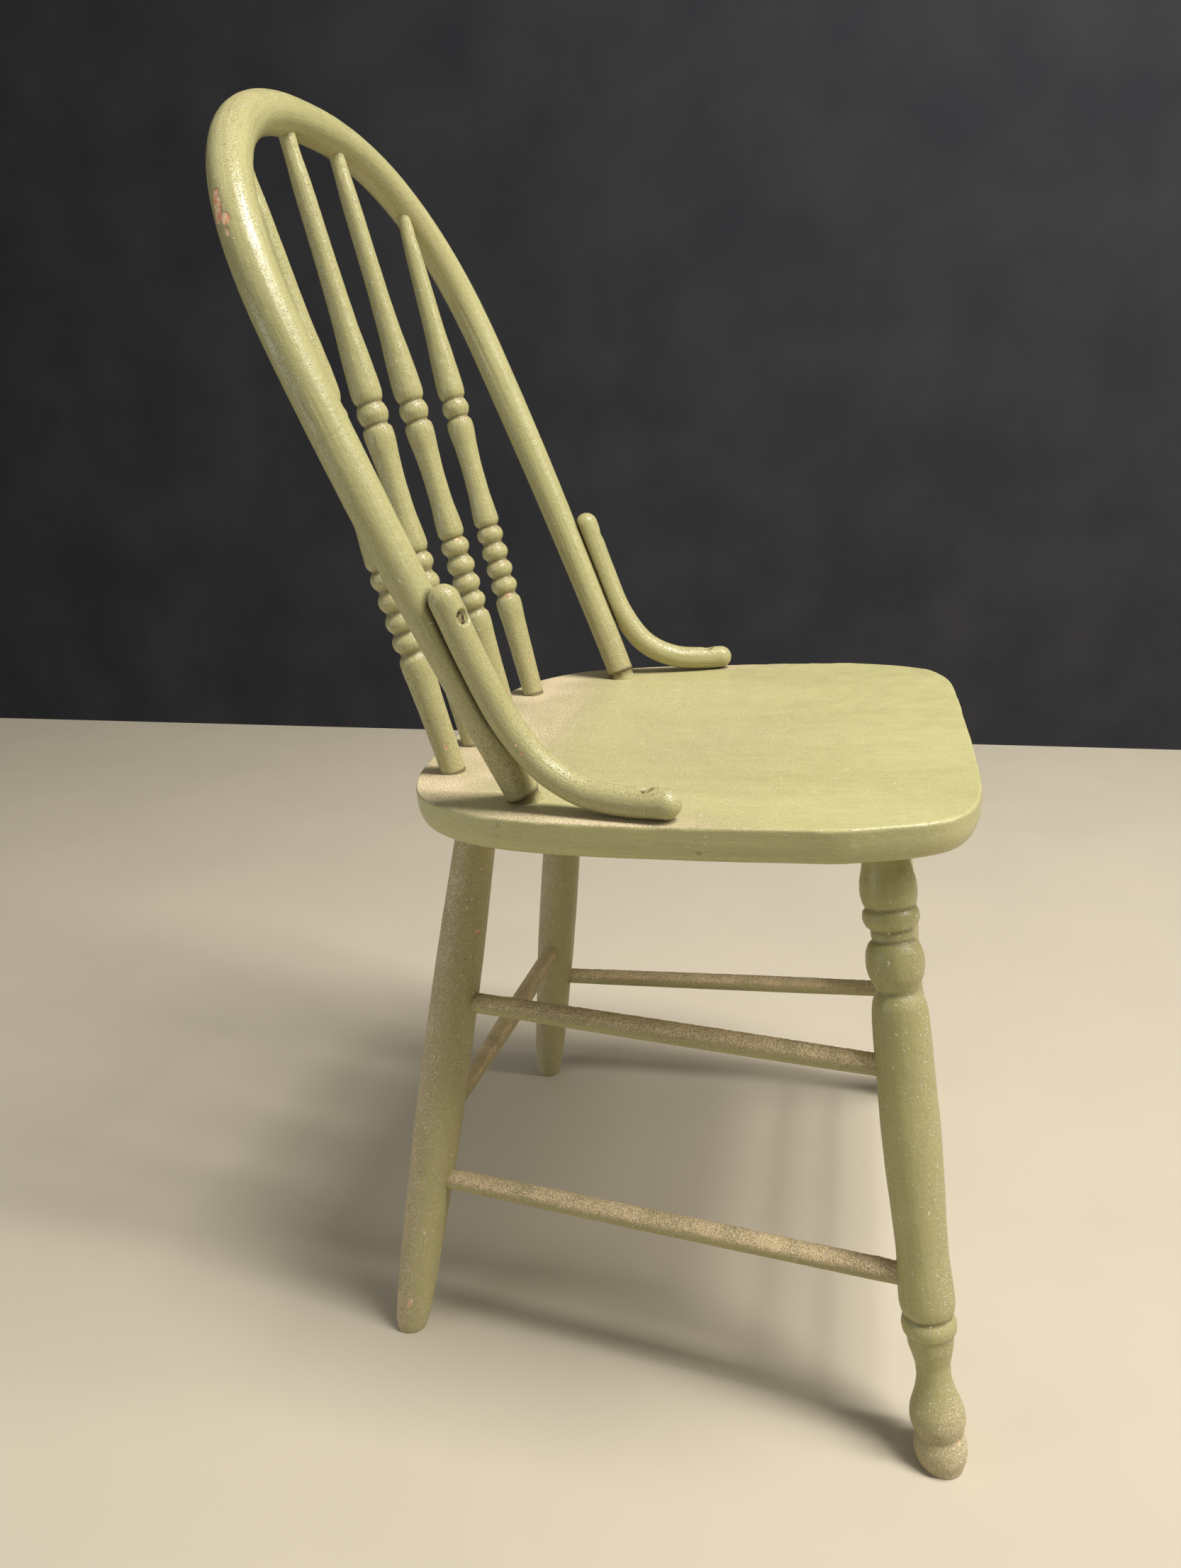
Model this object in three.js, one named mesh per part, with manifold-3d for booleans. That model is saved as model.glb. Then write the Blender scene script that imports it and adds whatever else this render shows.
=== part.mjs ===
// A hoop-back kitchen chair in painted wood: a plank seat on four splayed legs, a steam-bent hoop
// with four turned spindles, and two bent braces screwed between the hoop and the seat.
// Millimetres, +Z up. The chair faces -Y, and "right" is the sitter's right hand, -X.
// The origin is on the floor, at the middle of the chair's footprint box.
import * as THREE from "three";
import { mergeVertices } from "three/addons/utils/BufferGeometryUtils.js";
import Module from "manifold-3d";

const wasm = await Module();
wasm.setup();

// ---- Driving dimensions ----
const FIT_GAP = 0.3; // clearance round every tenon, screw and resting face
const TURNED_SIDES = 12;
const SPINDLE_SIDES = 10;

// The seat frame lies on the seat's flat rim and slopes down to the rear. Its origin is here.
const SEAT_HEIGHT = 440;
const DATUM_Y = -64.65;
const SEAT_SLOPE = 0.028; // radians

const SEAT = {
  halfWidth: 203,
  widestAt: -80, // y of the widest place
  rearReach: 292, // from the widest place back to the rear edge
  rearSquareness: 4.5, // exponent of the rear superellipse
  frontReach: 83,
  frontSquareness: 5.6,
  frontNarrowing: 0.108, // share of width lost at the front edge
  thickness: 24,
  middle: 25, // y of the point that the rings of the plank close in on
  dish: 5,
  dishEdge: 0.78, // the dish starts at this share of the outline
};

const HOOP = {
  baseX: 158.7, // half the distance between the two feet
  baseY: 116.7,
  rake: 0.366, // radians back from square to the seat
  halfWidth: 185.6,
  sideRise: 290, // where the sides turn into the arch
  rise: 454,
  sideBow: 1.95, // exponent of the sides' outward bow
  archSquareness: 2.36,
  radius: 13,
  footRadius: 11.1,
  taperRise: 270, // the stock is thinned below this
  shoulderRise: 5.2,
  tenonRadius: 9.8,
  tenonDepth: 15,
};

const BRACE = {
  radius: 9.5,
  // centre line in the seat frame, from the hoop down and forward, for +X
  line: [
    [186, 147, 132],
    [182.4, 133.5, 92],
    [177.6, 118, 54],
    [176.5, 98, 27],
    [181, 74, 13.6],
    [187, 48, 9.9],
  ],
  frontX: 191,
  frontY: { right: 22, left: 33 }, // the left brace was cut a little shorter
};

const SPINDLE = {
  outer: { baseX: 104.2, baseY: 184.4, topX: 128 },
  inner: { baseX: 41, baseY: 190.3, topX: 37.8 },
  tenonRadius: 6.5,
  tenonDepth: 13,
  topRadius: 5.2,
  topShort: 4.5, // the top ends this far below the hoop's centre line
};

const LEG_TENON = { radius: 10, depth: 15 };
const FRONT_LEG = { footX: 212.7, footY: DATUM_Y - 158.7, topX: 134.9, topY: DATUM_Y - 103.4 };
const REAR_LEG = { footX: 177.1, footY: 63.6, topX: 108.9, topY: 0 }; // in the rear pair's frame
// The rear legs were bored a little askew: they and their stretcher turn together under the seat.
const REAR_PAIR = { x: 8.5, y: DATUM_Y + 161.5, turn: -0.05 };
const LEG_TOP_Z = 416.5; // height at which topX and topY are stated

// Heights at which the stretchers' lines meet the legs' lines. The left upper one was bored higher.
const STRETCHER_HEIGHTS = {
  sideUpper: { right: 266, left: 277 },
  sideLower: 127,
  rear: 162,
  frontUpper: 236,
  frontLower: 156,
};
const STRETCHER_SHORT = 6; // a stretcher ends this far before the leg's centre line
const SOCKET_REACH = 30; // a cutting rod of this length clears the surface of any leg, the hoop or the seat
const JOIN = 12; // a tenon starts this far inside its own piece

const SCREW = { headRadius: 4, shankRadius: 2, headDepth: 3, length: 27, slot: 1 };
const SCREW_SINK = 3; // the head lies this far under the brace's surface
const SCREW_FROM_END = 12; // from the centre of the brace's ball end, along the brace

// ---- Turned profiles: [radius, distance along the piece] ----
const FRONT_LEG_PROFILE = [
  [15, -8], [15.6, 2], [17, 8], [17.2, 13], [16.2, 19], [15.3, 22.7], [16.6, 26.5], [17.9, 33],
  [17.5, 39], [15.4, 46], [12.8, 54], [11.2, 63], [11.2, 70], [12.7, 78], [14.6, 86], [15.3, 93],
  [17.3, 96], [17.7, 100], [16.9, 104], [15.4, 106.8], [17, 110], [17.9, 117], [17.5, 130], [16.5, 151],
  [17.3, 181], [18.3, 210], [18.7, 235], [18.2, 265], [18.1, 290], [17.6, 308], [16.8, 316], [15, 321.5],
  [13, 325.7], [14.8, 330.5], [17.3, 337], [18.1, 344], [17.4, 350.5], [15.5, 355.5], [12.7, 359],
  [13.3, 361], [13.2, 365], [16, 368], [17.5, 373], [17, 376.6], [15.2, 379.4], [16.6, 382.5],
  [17.6, 389], [17.3, 395], [15.8, 402], [14.8, 408], [14.5, 450],
];
const REAR_LEG_PROFILE = [
  [10.2, -8], [11.3, 2], [12.7, 10], [14.6, 42], [15.9, 80], [16.7, 125], [17.6, 165], [17.7, 200],
  [17.4, 255], [16.8, 305], [16.1, 335], [15.2, 365], [14.4, 395], [13.9, 450],
];
const SPINDLE_BEADS = [94.5, 108.6, 122.9, 137.7]; // centres of the four beads
const BEAD_RADIUS = 10.9;
const BEAD_HALF = 6; // half of a bead's length
const BEAD_GROOVE_RADIUS = 7.8;
const SPINDLE_FOOT = [[8.5, -8], [8.6, 8], [9.1, 38], [9.8, 62], [10.7, 77], [10.3, 82.5], [8.2, 86]];
const SPINDLE_VASE = [
  [9.2, 146], [10.3, 149.5], [9.9, 158], [8.7, 174], [8.5, 192], [9.3, 210], [10.6, 226], [10.2, 230.5],
  [8.1, 234], [9.4, 236], [10.9, 241.5], [9.6, 246.4], [8.6, 248.2], [10.1, 251], [10.8, 256], [10.5, 266],
  [9.6, 281], [8.2, 301], [7.2, 330],
];

// ---- Solids, all in the chair's own frame ----
function solidFrom(geometry, matrix = new THREE.Matrix4()) {
  const bare = new THREE.BufferGeometry();
  bare.setAttribute("position", geometry.getAttribute("position").clone());
  if (geometry.index) bare.setIndex(geometry.index.clone());
  const merged = mergeVertices(bare.applyMatrix4(matrix), 1e-3);
  return new wasm.Manifold(
    new wasm.Mesh({
      numProp: 3,
      vertProperties: merged.attributes.position.array,
      triVerts: new Uint32Array(merged.index.array),
    }),
  );
}

function geometryFrom(solid) {
  const mesh = solid.getMesh();
  const geometry = new THREE.BufferGeometry();
  geometry.setAttribute("position", new THREE.BufferAttribute(mesh.vertProperties, mesh.numProp));
  geometry.setIndex(new THREE.BufferAttribute(mesh.triVerts, 1));
  geometry.computeVertexNormals();
  return geometry;
}

// The matrix that lays a piece's own +Z from one point towards another.
function along(from, to) {
  const turn = new THREE.Quaternion().setFromUnitVectors(
    new THREE.Vector3(0, 0, 1),
    to.clone().sub(from).normalize(),
  );
  return new THREE.Matrix4().compose(from, turn, new THREE.Vector3(1, 1, 1));
}

// A turned piece about +Z. The profile runs up the piece and is closed on the axis at both ends.
function turned(profile, sides = TURNED_SIDES) {
  const points = profile.map(([radius, z]) => new THREE.Vector2(radius, z));
  points.unshift(new THREE.Vector2(0, points[0].y));
  points.push(new THREE.Vector2(0, points.at(-1).y));
  return new THREE.LatheGeometry(points, sides).rotateX(Math.PI / 2);
}

const rod = (radius, start, end, sides = TURNED_SIDES) => turned([[radius, start], [radius, end]], sides);

// A point part way from one end of a line to the other, at a given height.
function atHeight(line, z) {
  return line.foot.clone().lerp(line.top, (z - line.foot.z) / (line.top.z - line.foot.z));
}

// ---- Frames ----
const chair = new THREE.Group();
const seatFrame = new THREE.Group();
seatFrame.position.set(0, DATUM_Y, SEAT_HEIGHT);
seatFrame.rotation.x = -SEAT_SLOPE;
const rearPair = new THREE.Group();
rearPair.position.set(REAR_PAIR.x, REAR_PAIR.y, 0);
rearPair.rotation.z = REAR_PAIR.turn;
chair.add(seatFrame, rearPair);
chair.updateMatrixWorld(true);

const inSeatFrame = (x, y, z) => new THREE.Vector3(x, y, z).applyMatrix4(seatFrame.matrixWorld);
const seatUp = inSeatFrame(0, 0, 1).sub(inSeatFrame(0, 0, 0));

// A thick slab whose lower face lies in the seat frame at the given height: it trims leg tops.
// With above = false its upper face lies there instead, and it trims spindle feet.
function slab(height, above) {
  const size = 1000;
  const depth = 60;
  const box = new THREE.BoxGeometry(size, size, depth);
  box.translate(0, 0, above ? height + depth / 2 : height - depth / 2);
  return solidFrom(box, seatFrame.matrixWorld);
}

// ---- Materials ----
function paint(color, roughness) {
  return new THREE.MeshStandardMaterial({ color, roughness, metalness: 0 });
}
const seatPaint = paint(0xc9c08c, 0.42);
const backPaint = paint(0xb5ad76, 0.38);
const legPaint = paint(0xa39b70, 0.5);
const dustyPaint = paint(0xb0a37c, 0.7);
const screwSteel = new THREE.MeshStandardMaterial({ color: 0x5d574c, roughness: 0.55, metalness: 0.9 });

// Adds a solid of the chair's frame as a named mesh whose own matrix is the piece's place.
function addPart(name, solid, material, matrix, parent = chair) {
  const local = parent.matrixWorld.clone().invert().multiply(matrix);
  const mesh = new THREE.Mesh(geometryFrom(solid).applyMatrix4(matrix.clone().invert()), material);
  mesh.name = name;
  local.decompose(mesh.position, mesh.quaternion, mesh.scale);
  parent.add(mesh);
}

const SIDES = [
  { name: "right", sign: -1 },
  { name: "left", sign: 1 },
];

// ---- The legs' lines ----
const legs = SIDES.flatMap(({ name, sign }) => [
  {
    name: "front_leg_" + name,
    profile: FRONT_LEG_PROFILE,
    parent: chair,
    foot: new THREE.Vector3(sign * FRONT_LEG.footX, FRONT_LEG.footY, 0),
    top: new THREE.Vector3(sign * FRONT_LEG.topX, FRONT_LEG.topY, LEG_TOP_Z),
  },
  {
    name: "rear_leg_" + name,
    profile: REAR_LEG_PROFILE,
    parent: rearPair,
    foot: new THREE.Vector3(sign * REAR_LEG.footX, REAR_LEG.footY, 0).applyMatrix4(rearPair.matrixWorld),
    top: new THREE.Vector3(sign * REAR_LEG.topX, REAR_LEG.topY, LEG_TOP_Z).applyMatrix4(rearPair.matrixWorld),
  },
]);
const legNamed = (name) => legs.find((leg) => leg.name === name);

// ---- Stretchers: plain rods, a little fatter in the middle, with both ends let into legs ----
const SIDE_PROFILE = (span) => [[6.8, 0], [7.2, 18], [7.7, span * 0.6], [7.2, span - 18], [6.8, span]];
const REAR_PROFILE = (span) => [[5.6, 0], [6, 30], [8.2, span * 0.6], [8, span - 30], [7, span]];
const stretchers = [
  ...SIDES.flatMap(({ name }) => {
    const ends = ["rear_leg_" + name, "front_leg_" + name];
    return [
      ["side_stretcher_upper_" + name, ...ends, STRETCHER_HEIGHTS.sideUpper[name]],
      ["side_stretcher_lower_" + name, ...ends, STRETCHER_HEIGHTS.sideLower],
    ];
  }),
  ["rear_stretcher", "rear_leg_right", "rear_leg_left", STRETCHER_HEIGHTS.rear],
  ["front_stretcher_upper", "front_leg_right", "front_leg_left", STRETCHER_HEIGHTS.frontUpper],
  ["front_stretcher_lower", "front_leg_right", "front_leg_left", STRETCHER_HEIGHTS.frontLower],
].map(([name, from, to, height]) => {
  const start = atHeight(legNamed(from), height);
  const end = atHeight(legNamed(to), height);
  const reach = end.clone().sub(start).normalize().multiplyScalar(STRETCHER_SHORT);
  start.add(reach);
  end.sub(reach);
  return { name, ends: [from, to], start, end, length: start.distanceTo(end) };
});

for (const stretcher of stretchers) {
  const profile = (stretcher.name === "rear_stretcher" ? REAR_PROFILE : SIDE_PROFILE)(stretcher.length);
  const matrix = along(stretcher.start, stretcher.end);
  stretcher.endRadii = [profile[1][0], profile.at(-2)[0]];
  addPart(stretcher.name, solidFrom(turned(profile), matrix), dustyPaint, matrix);
}

// ---- Legs: trimmed flat on the floor and under the seat, tenoned above, bored for stretchers ----
const floorCut = solidFrom(new THREE.BoxGeometry(1000, 1000, 60).translate(0, 0, -30));
const underSeat = slab(-SEAT.thickness - FIT_GAP, true);

for (const leg of legs) {
  const matrix = along(leg.foot, leg.top);
  // distance up the leg at which its centre line meets the underside of the seat
  const direction = leg.top.clone().sub(leg.foot).normalize();
  const seatPoint = inSeatFrame(0, 0, -SEAT.thickness);
  leg.seatAt = seatPoint.sub(leg.foot).dot(seatUp) / direction.dot(seatUp);
  leg.matrix = matrix;
  let solid = solidFrom(turned(leg.profile), matrix)
    .subtract(floorCut)
    .subtract(underSeat)
    .add(solidFrom(rod(LEG_TENON.radius, leg.seatAt - JOIN, leg.seatAt + LEG_TENON.depth), matrix));
  for (const { ends, start, end, endRadii } of stretchers) {
    const which = ends.indexOf(leg.name);
    if (which < 0) continue;
    const socketAxis = which === 0 ? along(start, end) : along(end, start);
    const socket = rod(endRadii[which] + 2 * FIT_GAP, -FIT_GAP, SOCKET_REACH);
    solid = solid.subtract(solidFrom(socket, socketAxis));
  }
  addPart(leg.name, solid, legPaint, matrix, leg.parent);
}

// ---- Hoop ----
class HoopLine extends THREE.Curve {
  // t runs from the right foot, over the top, to the left foot.
  getPoint(t, target = new THREE.Vector3()) {
    const archShare = 0.4;
    const side = t < 0.5 ? -1 : 1;
    const fromTop = Math.abs(2 * t - 1);
    let x;
    let rise;
    if (fromTop > archShare) {
      const share = (1 - fromTop) / (1 - archShare);
      rise = HOOP.shoulderRise + share * (HOOP.sideRise - HOOP.shoulderRise);
      x = HOOP.baseX + (HOOP.halfWidth - HOOP.baseX) * (1 - (1 - rise / HOOP.sideRise) ** HOOP.sideBow);
    } else {
      const angle = (1 - fromTop / archShare) * (Math.PI / 2);
      x = HOOP.halfWidth * Math.cos(angle) ** (2 / HOOP.archSquareness);
      rise = HOOP.sideRise + (HOOP.rise - HOOP.sideRise) * Math.sin(angle) ** (2 / HOOP.archSquareness);
    }
    return onHoopPlane(side * x, rise, target);
  }
}

function onHoopPlane(x, rise, target = new THREE.Vector3()) {
  return target.set(x, HOOP.baseY + rise * Math.sin(HOOP.rake), rise * Math.cos(HOOP.rake));
}

const riseOf = (point) => point.z / Math.cos(HOOP.rake);

function hoopRadius(rise) {
  const share = THREE.MathUtils.smoothstep(rise, 0, HOOP.taperRise);
  return HOOP.footRadius + (HOOP.radius - HOOP.footRadius) * share;
}

function roundShape(radius, sides) {
  const shape = new THREE.Shape();
  for (let i = 0; i < sides; i++) {
    const angle = (i / sides) * 2 * Math.PI;
    const corner = [radius * Math.cos(angle), radius * Math.sin(angle)];
    if (i === 0) shape.moveTo(...corner);
    else shape.lineTo(...corner);
  }
  return shape;
}

function bentRod(curve, radius, steps, sides = TURNED_SIDES) {
  return new THREE.ExtrudeGeometry(roundShape(radius, sides), { steps, extrudePath: curve });
}

const hoopLine = new HoopLine();
const HOOP_STEPS = 44;

// The bent stock, with its radius grown by extra, thinned towards its two feet.
function hoopStock(extra = 0) {
  const geometry = bentRod(hoopLine, HOOP.radius, HOOP_STEPS);
  const spine = hoopLine.getSpacedPoints(HOOP_STEPS);
  const position = geometry.getAttribute("position");
  const vertex = new THREE.Vector3();
  for (let i = 0; i < position.count; i++) {
    vertex.fromBufferAttribute(position, i);
    const centre = spine.reduce((a, b) => (b.distanceTo(vertex) < a.distanceTo(vertex) ? b : a));
    const radius = hoopRadius(riseOf(centre)) + extra;
    vertex.sub(centre).setLength(radius).add(centre);
    position.setXYZ(i, vertex.x, vertex.y, vertex.z);
  }
  return solidFrom(geometry, seatFrame.matrixWorld);
}

// Where each hoop tenon starts inside the stock and where it ends in the seat, in the seat frame.
const hoopTenons = [0, 1].map((t) => {
  const shoulder = hoopLine.getPoint(t);
  const down = hoopLine.getTangent(t).multiplyScalar(t === 0 ? -1 : 1);
  return {
    start: shoulder.clone().addScaledVector(down, -JOIN),
    end: shoulder.clone().addScaledVector(down, HOOP.tenonDepth + HOOP.shoulderRise),
  };
});

function tenonSolid({ start, end }, radius, extra) {
  const matrix = seatFrame.matrixWorld.clone().multiply(along(start, end));
  return solidFrom(rod(radius, 0, start.distanceTo(end) + extra), matrix);
}

// ---- Spindles ----
const beads = SPINDLE_BEADS.flatMap((centre) => [
  [BEAD_GROOVE_RADIUS, centre - BEAD_HALF - 0.9],
  [BEAD_RADIUS - 1.3, centre - BEAD_HALF * 0.66],
  [BEAD_RADIUS, centre],
  [BEAD_RADIUS - 1.3, centre + BEAD_HALF * 0.66],
]);

// x on the arch gives the rise of the hoop's centre line there.
function archRise(x) {
  const cosine = (x / HOOP.halfWidth) ** (HOOP.archSquareness / 2);
  const sine = Math.sqrt(1 - cosine * cosine);
  return HOOP.sideRise + (HOOP.rise - HOOP.sideRise) * sine ** (2 / HOOP.archSquareness);
}

const spindles = SIDES.flatMap(({ name, sign }) =>
  ["outer", "inner"].map((place) => {
    const { baseX, baseY, topX } = SPINDLE[place];
    const base = new THREE.Vector3(sign * baseX, baseY, 0);
    const onHoop = onHoopPlane(sign * topX, archRise(topX));
    const length = base.distanceTo(onHoop) - SPINDLE.topShort;
    const matrix = seatFrame.matrixWorld.clone().multiply(along(base, onHoop));
    return { name: "spindle_" + place + "_" + name, length, matrix };
  }),
);

const overSeat = slab(FIT_GAP, false);

for (const { name, length, matrix } of spindles) {
  const profile = [
    ...SPINDLE_FOOT,
    ...beads,
    [BEAD_GROOVE_RADIUS, 144],
    ...SPINDLE_VASE,
    [6.4, length - 40],
    [SPINDLE.topRadius, length - 12],
    [SPINDLE.topRadius, length],
  ];
  const solid = solidFrom(turned(profile, SPINDLE_SIDES), matrix)
    .subtract(overSeat)
    .add(solidFrom(rod(SPINDLE.tenonRadius, -SPINDLE.tenonDepth, JOIN, SPINDLE_SIDES), matrix));
  addPart(name, solid, backPaint, matrix, seatFrame);
}

// ---- Braces and their screws ----
// A countersunk slotted wood screw along +Z, its point up, with the top of its head at 0.
function screwSolid(matrix) {
  const { headRadius, shankRadius, headDepth, length, slot } = SCREW;
  const body = turned([[headRadius, 0], [shankRadius, headDepth], [shankRadius, length - 5], [0.6, length]]);
  const slotBox = new THREE.BoxGeometry(3 * headRadius, slot, 2 * slot);
  return solidFrom(body, matrix).subtract(solidFrom(slotBox, matrix));
}

// The room that a screw needs: shank clearance, countersink and the open well above its head.
function screwRoom(matrix) {
  const head = SCREW.headRadius + FIT_GAP;
  const shank = SCREW.shankRadius + FIT_GAP;
  const room = turned(
    [[head, -JOIN], [head, FIT_GAP], [shank, SCREW.headDepth + FIT_GAP], [shank, SCREW.length + FIT_GAP]],
  );
  return solidFrom(room, matrix);
}

const braces = SIDES.map(({ name, sign }) => {
  const points = BRACE.line.map(([x, y, z]) => new THREE.Vector3(sign * x, y, z));
  const restZ = BRACE.radius + FIT_GAP;
  points.push(new THREE.Vector3(sign * BRACE.frontX, BRACE.frontY[name], restZ));
  const line = new THREE.CatmullRomCurve3(points);
  const share = SCREW_FROM_END / line.getLength();
  const top = line.getPointAt(share);
  const front = line.getPointAt(1 - share);
  const behind = hoopLine
    .getSpacedPoints(400)
    .reduce((a, b) => (b.distanceTo(top) < a.distanceTo(top) ? b : a));
  // each screw runs square to the brace, one into the hoop and one into the seat
  const screws = [
    { place: "hoop", start: top, towards: behind },
    { place: "seat", start: front, towards: front.clone().add(new THREE.Vector3(0, 0, -1)) },
  ].map(({ place, start, towards }) => {
    const way = towards.clone().sub(start).normalize();
    const head = start.clone().addScaledVector(way, SCREW_SINK - BRACE.radius);
    const matrix = seatFrame.matrixWorld.clone().multiply(along(head, head.clone().add(way)));
    return { name: "screw_" + place + "_" + name, matrix };
  });
  return { name: "brace_" + name, line, ends: [points[0], points.at(-1)], screws };
});

const hoopClearance = hoopStock(FIT_GAP);

for (const { name, line, ends, screws } of braces) {
  let solid = solidFrom(bentRod(line, BRACE.radius, 22), seatFrame.matrixWorld);
  for (const end of ends) {
    const ball = new THREE.SphereGeometry(BRACE.radius, 12, 6).translate(...end);
    solid = solid.add(solidFrom(ball, seatFrame.matrixWorld));
  }
  solid = solid.subtract(hoopClearance).subtract(slab(FIT_GAP, false));
  for (const { matrix } of screws) solid = solid.subtract(screwRoom(matrix));
  addPart(name, solid, backPaint, seatFrame.matrixWorld, seatFrame);
  for (const { name: screw, matrix } of screws) {
    addPart(screw, screwSolid(matrix), screwSteel, matrix, seatFrame);
  }
}

// ---- Hoop solid: stock and tenons, bored for the spindles' tops and the braces' upper screws ----
let hoop = hoopStock();
for (const tenon of hoopTenons) hoop = hoop.add(tenonSolid(tenon, HOOP.tenonRadius, 0));
for (const { length, matrix } of spindles) {
  const bore = rod(SPINDLE.topRadius + FIT_GAP, length - SOCKET_REACH, length + FIT_GAP);
  hoop = hoop.subtract(solidFrom(bore, matrix));
}
for (const { screws } of braces) hoop = hoop.subtract(screwRoom(screws[0].matrix));
addPart("hoop", hoop, backPaint, seatFrame.matrixWorld, seatFrame);

// ---- Seat: a plank with a rounded rim and a shallow dish ----
// Rings of the plank: [share of the outline, height], from the underside round the rim to the dish.
const SEAT_RINGS = [
  [0.5, -SEAT.thickness], [0.965, -SEAT.thickness], [0.982, -22.4], [0.993, -18.5], [0.999, -13], [1, -2.4],
  [0.9985, -0.8], [0.994, 0], [0.9, 0], [SEAT.dishEdge, 0], [0.62, 0], [0.4, 0],
];

function seatOutline(angle) {
  const cosine = Math.cos(angle);
  const sine = Math.sin(angle);
  const rear = sine >= 0;
  const power = 2 / (rear ? SEAT.rearSquareness : SEAT.frontSquareness);
  const reach = Math.sign(sine) * Math.abs(sine) ** power;
  const width = Math.sign(cosine) * Math.abs(cosine) ** power * SEAT.halfWidth;
  if (rear) return [width, SEAT.widestAt + reach * SEAT.rearReach];
  return [width * (1 + SEAT.frontNarrowing * reach), SEAT.widestAt + reach * SEAT.frontReach];
}

function dishAt(share) {
  return SEAT.dish * THREE.MathUtils.smoothstep(SEAT.dishEdge - share, 0, SEAT.dishEdge);
}

function seatPlank() {
  const plank = turned(SEAT_RINGS, 48);
  const position = plank.getAttribute("position");
  for (let i = 0; i < position.count; i++) {
    const [x, y, z] = [position.getX(i), position.getY(i), position.getZ(i)];
    const share = Math.hypot(x, y);
    const [edgeX, edgeY] = seatOutline(Math.atan2(y, x));
    const sunk = z > -SEAT.thickness / 2 ? dishAt(share) : 0;
    position.setXYZ(i, share * edgeX, SEAT.middle + share * (edgeY - SEAT.middle), z - sunk);
  }
  return solidFrom(plank, seatFrame.matrixWorld);
}

let seat = seatPlank();
for (const { matrix, seatAt } of legs) {
  const socket = rod(LEG_TENON.radius + FIT_GAP, seatAt - SOCKET_REACH, seatAt + LEG_TENON.depth + FIT_GAP);
  seat = seat.subtract(solidFrom(socket, matrix));
}
for (const tenon of hoopTenons) seat = seat.subtract(tenonSolid(tenon, HOOP.tenonRadius + FIT_GAP, FIT_GAP));
for (const { matrix } of spindles) {
  const { tenonRadius, tenonDepth } = SPINDLE;
  const socket = rod(tenonRadius + FIT_GAP, -tenonDepth - FIT_GAP, SOCKET_REACH, SPINDLE_SIDES);
  seat = seat.subtract(solidFrom(socket, matrix));
}
for (const { screws } of braces) seat = seat.subtract(screwRoom(screws[1].matrix));
addPart("seat", seat, seatPaint, seatFrame.matrixWorld, seatFrame);

export default chair;
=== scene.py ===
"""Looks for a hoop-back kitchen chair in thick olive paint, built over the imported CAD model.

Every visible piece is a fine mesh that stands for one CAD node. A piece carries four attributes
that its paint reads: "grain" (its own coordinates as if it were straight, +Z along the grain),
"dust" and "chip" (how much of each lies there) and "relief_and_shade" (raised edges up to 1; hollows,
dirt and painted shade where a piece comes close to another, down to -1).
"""

import math

import bpy
import numpy as np
from mathutils import Matrix, Vector


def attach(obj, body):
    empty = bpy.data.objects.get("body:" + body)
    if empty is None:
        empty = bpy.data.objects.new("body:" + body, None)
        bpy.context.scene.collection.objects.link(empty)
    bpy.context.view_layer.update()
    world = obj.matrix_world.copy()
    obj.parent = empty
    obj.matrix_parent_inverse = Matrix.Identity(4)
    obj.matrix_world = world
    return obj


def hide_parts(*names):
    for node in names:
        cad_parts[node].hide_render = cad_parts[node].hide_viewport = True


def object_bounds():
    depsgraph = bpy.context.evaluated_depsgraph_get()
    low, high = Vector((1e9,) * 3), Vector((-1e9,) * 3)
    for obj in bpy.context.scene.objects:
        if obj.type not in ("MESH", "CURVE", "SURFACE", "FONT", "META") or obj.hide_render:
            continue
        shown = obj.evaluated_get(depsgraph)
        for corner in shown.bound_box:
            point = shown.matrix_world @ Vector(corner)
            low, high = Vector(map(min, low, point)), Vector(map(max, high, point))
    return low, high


MM = 0.001
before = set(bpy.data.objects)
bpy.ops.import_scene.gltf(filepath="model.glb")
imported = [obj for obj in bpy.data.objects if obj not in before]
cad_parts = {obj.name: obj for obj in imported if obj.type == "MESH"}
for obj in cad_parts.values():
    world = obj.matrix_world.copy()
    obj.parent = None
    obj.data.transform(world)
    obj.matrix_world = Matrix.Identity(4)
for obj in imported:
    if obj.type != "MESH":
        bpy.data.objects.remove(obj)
cad_low, cad_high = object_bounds()

# ---- Sizes, in metres unless a name says otherwise ----
CAMERA = {"place": (-0.807, -0.1447, 0.681), "yaw": 13.42, "pitch": 19.24, "roll": -2.37, "lens": 26.06}

SEAT_THICKNESS = 24 * MM
SEAT = {
    "half_width": 203 * MM,
    "widest_at": -80 * MM,
    "rear_reach": 292 * MM,
    "rear_squareness": 4.5,
    "front_reach": 83 * MM,
    "front_squareness": 5.6,
    "front_narrowing": 0.108,
    "middle": 25 * MM,
    "dish": 5 * MM,
    "dish_edge": 0.78,
}
# The rim's section: share of the outline, height over the rim's flat top in millimetres.
SEAT_RIM = [
    (0.9, -24), (0.955, -24), (0.97, -23.6), (0.983, -22.2), (0.993, -18.5), (0.999, -13), (1, -6),
    (1, -2.2), (0.9992, -1.1), (0.9965, -0.35), (0.993, -0.05), (0.98, 0),
]

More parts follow.
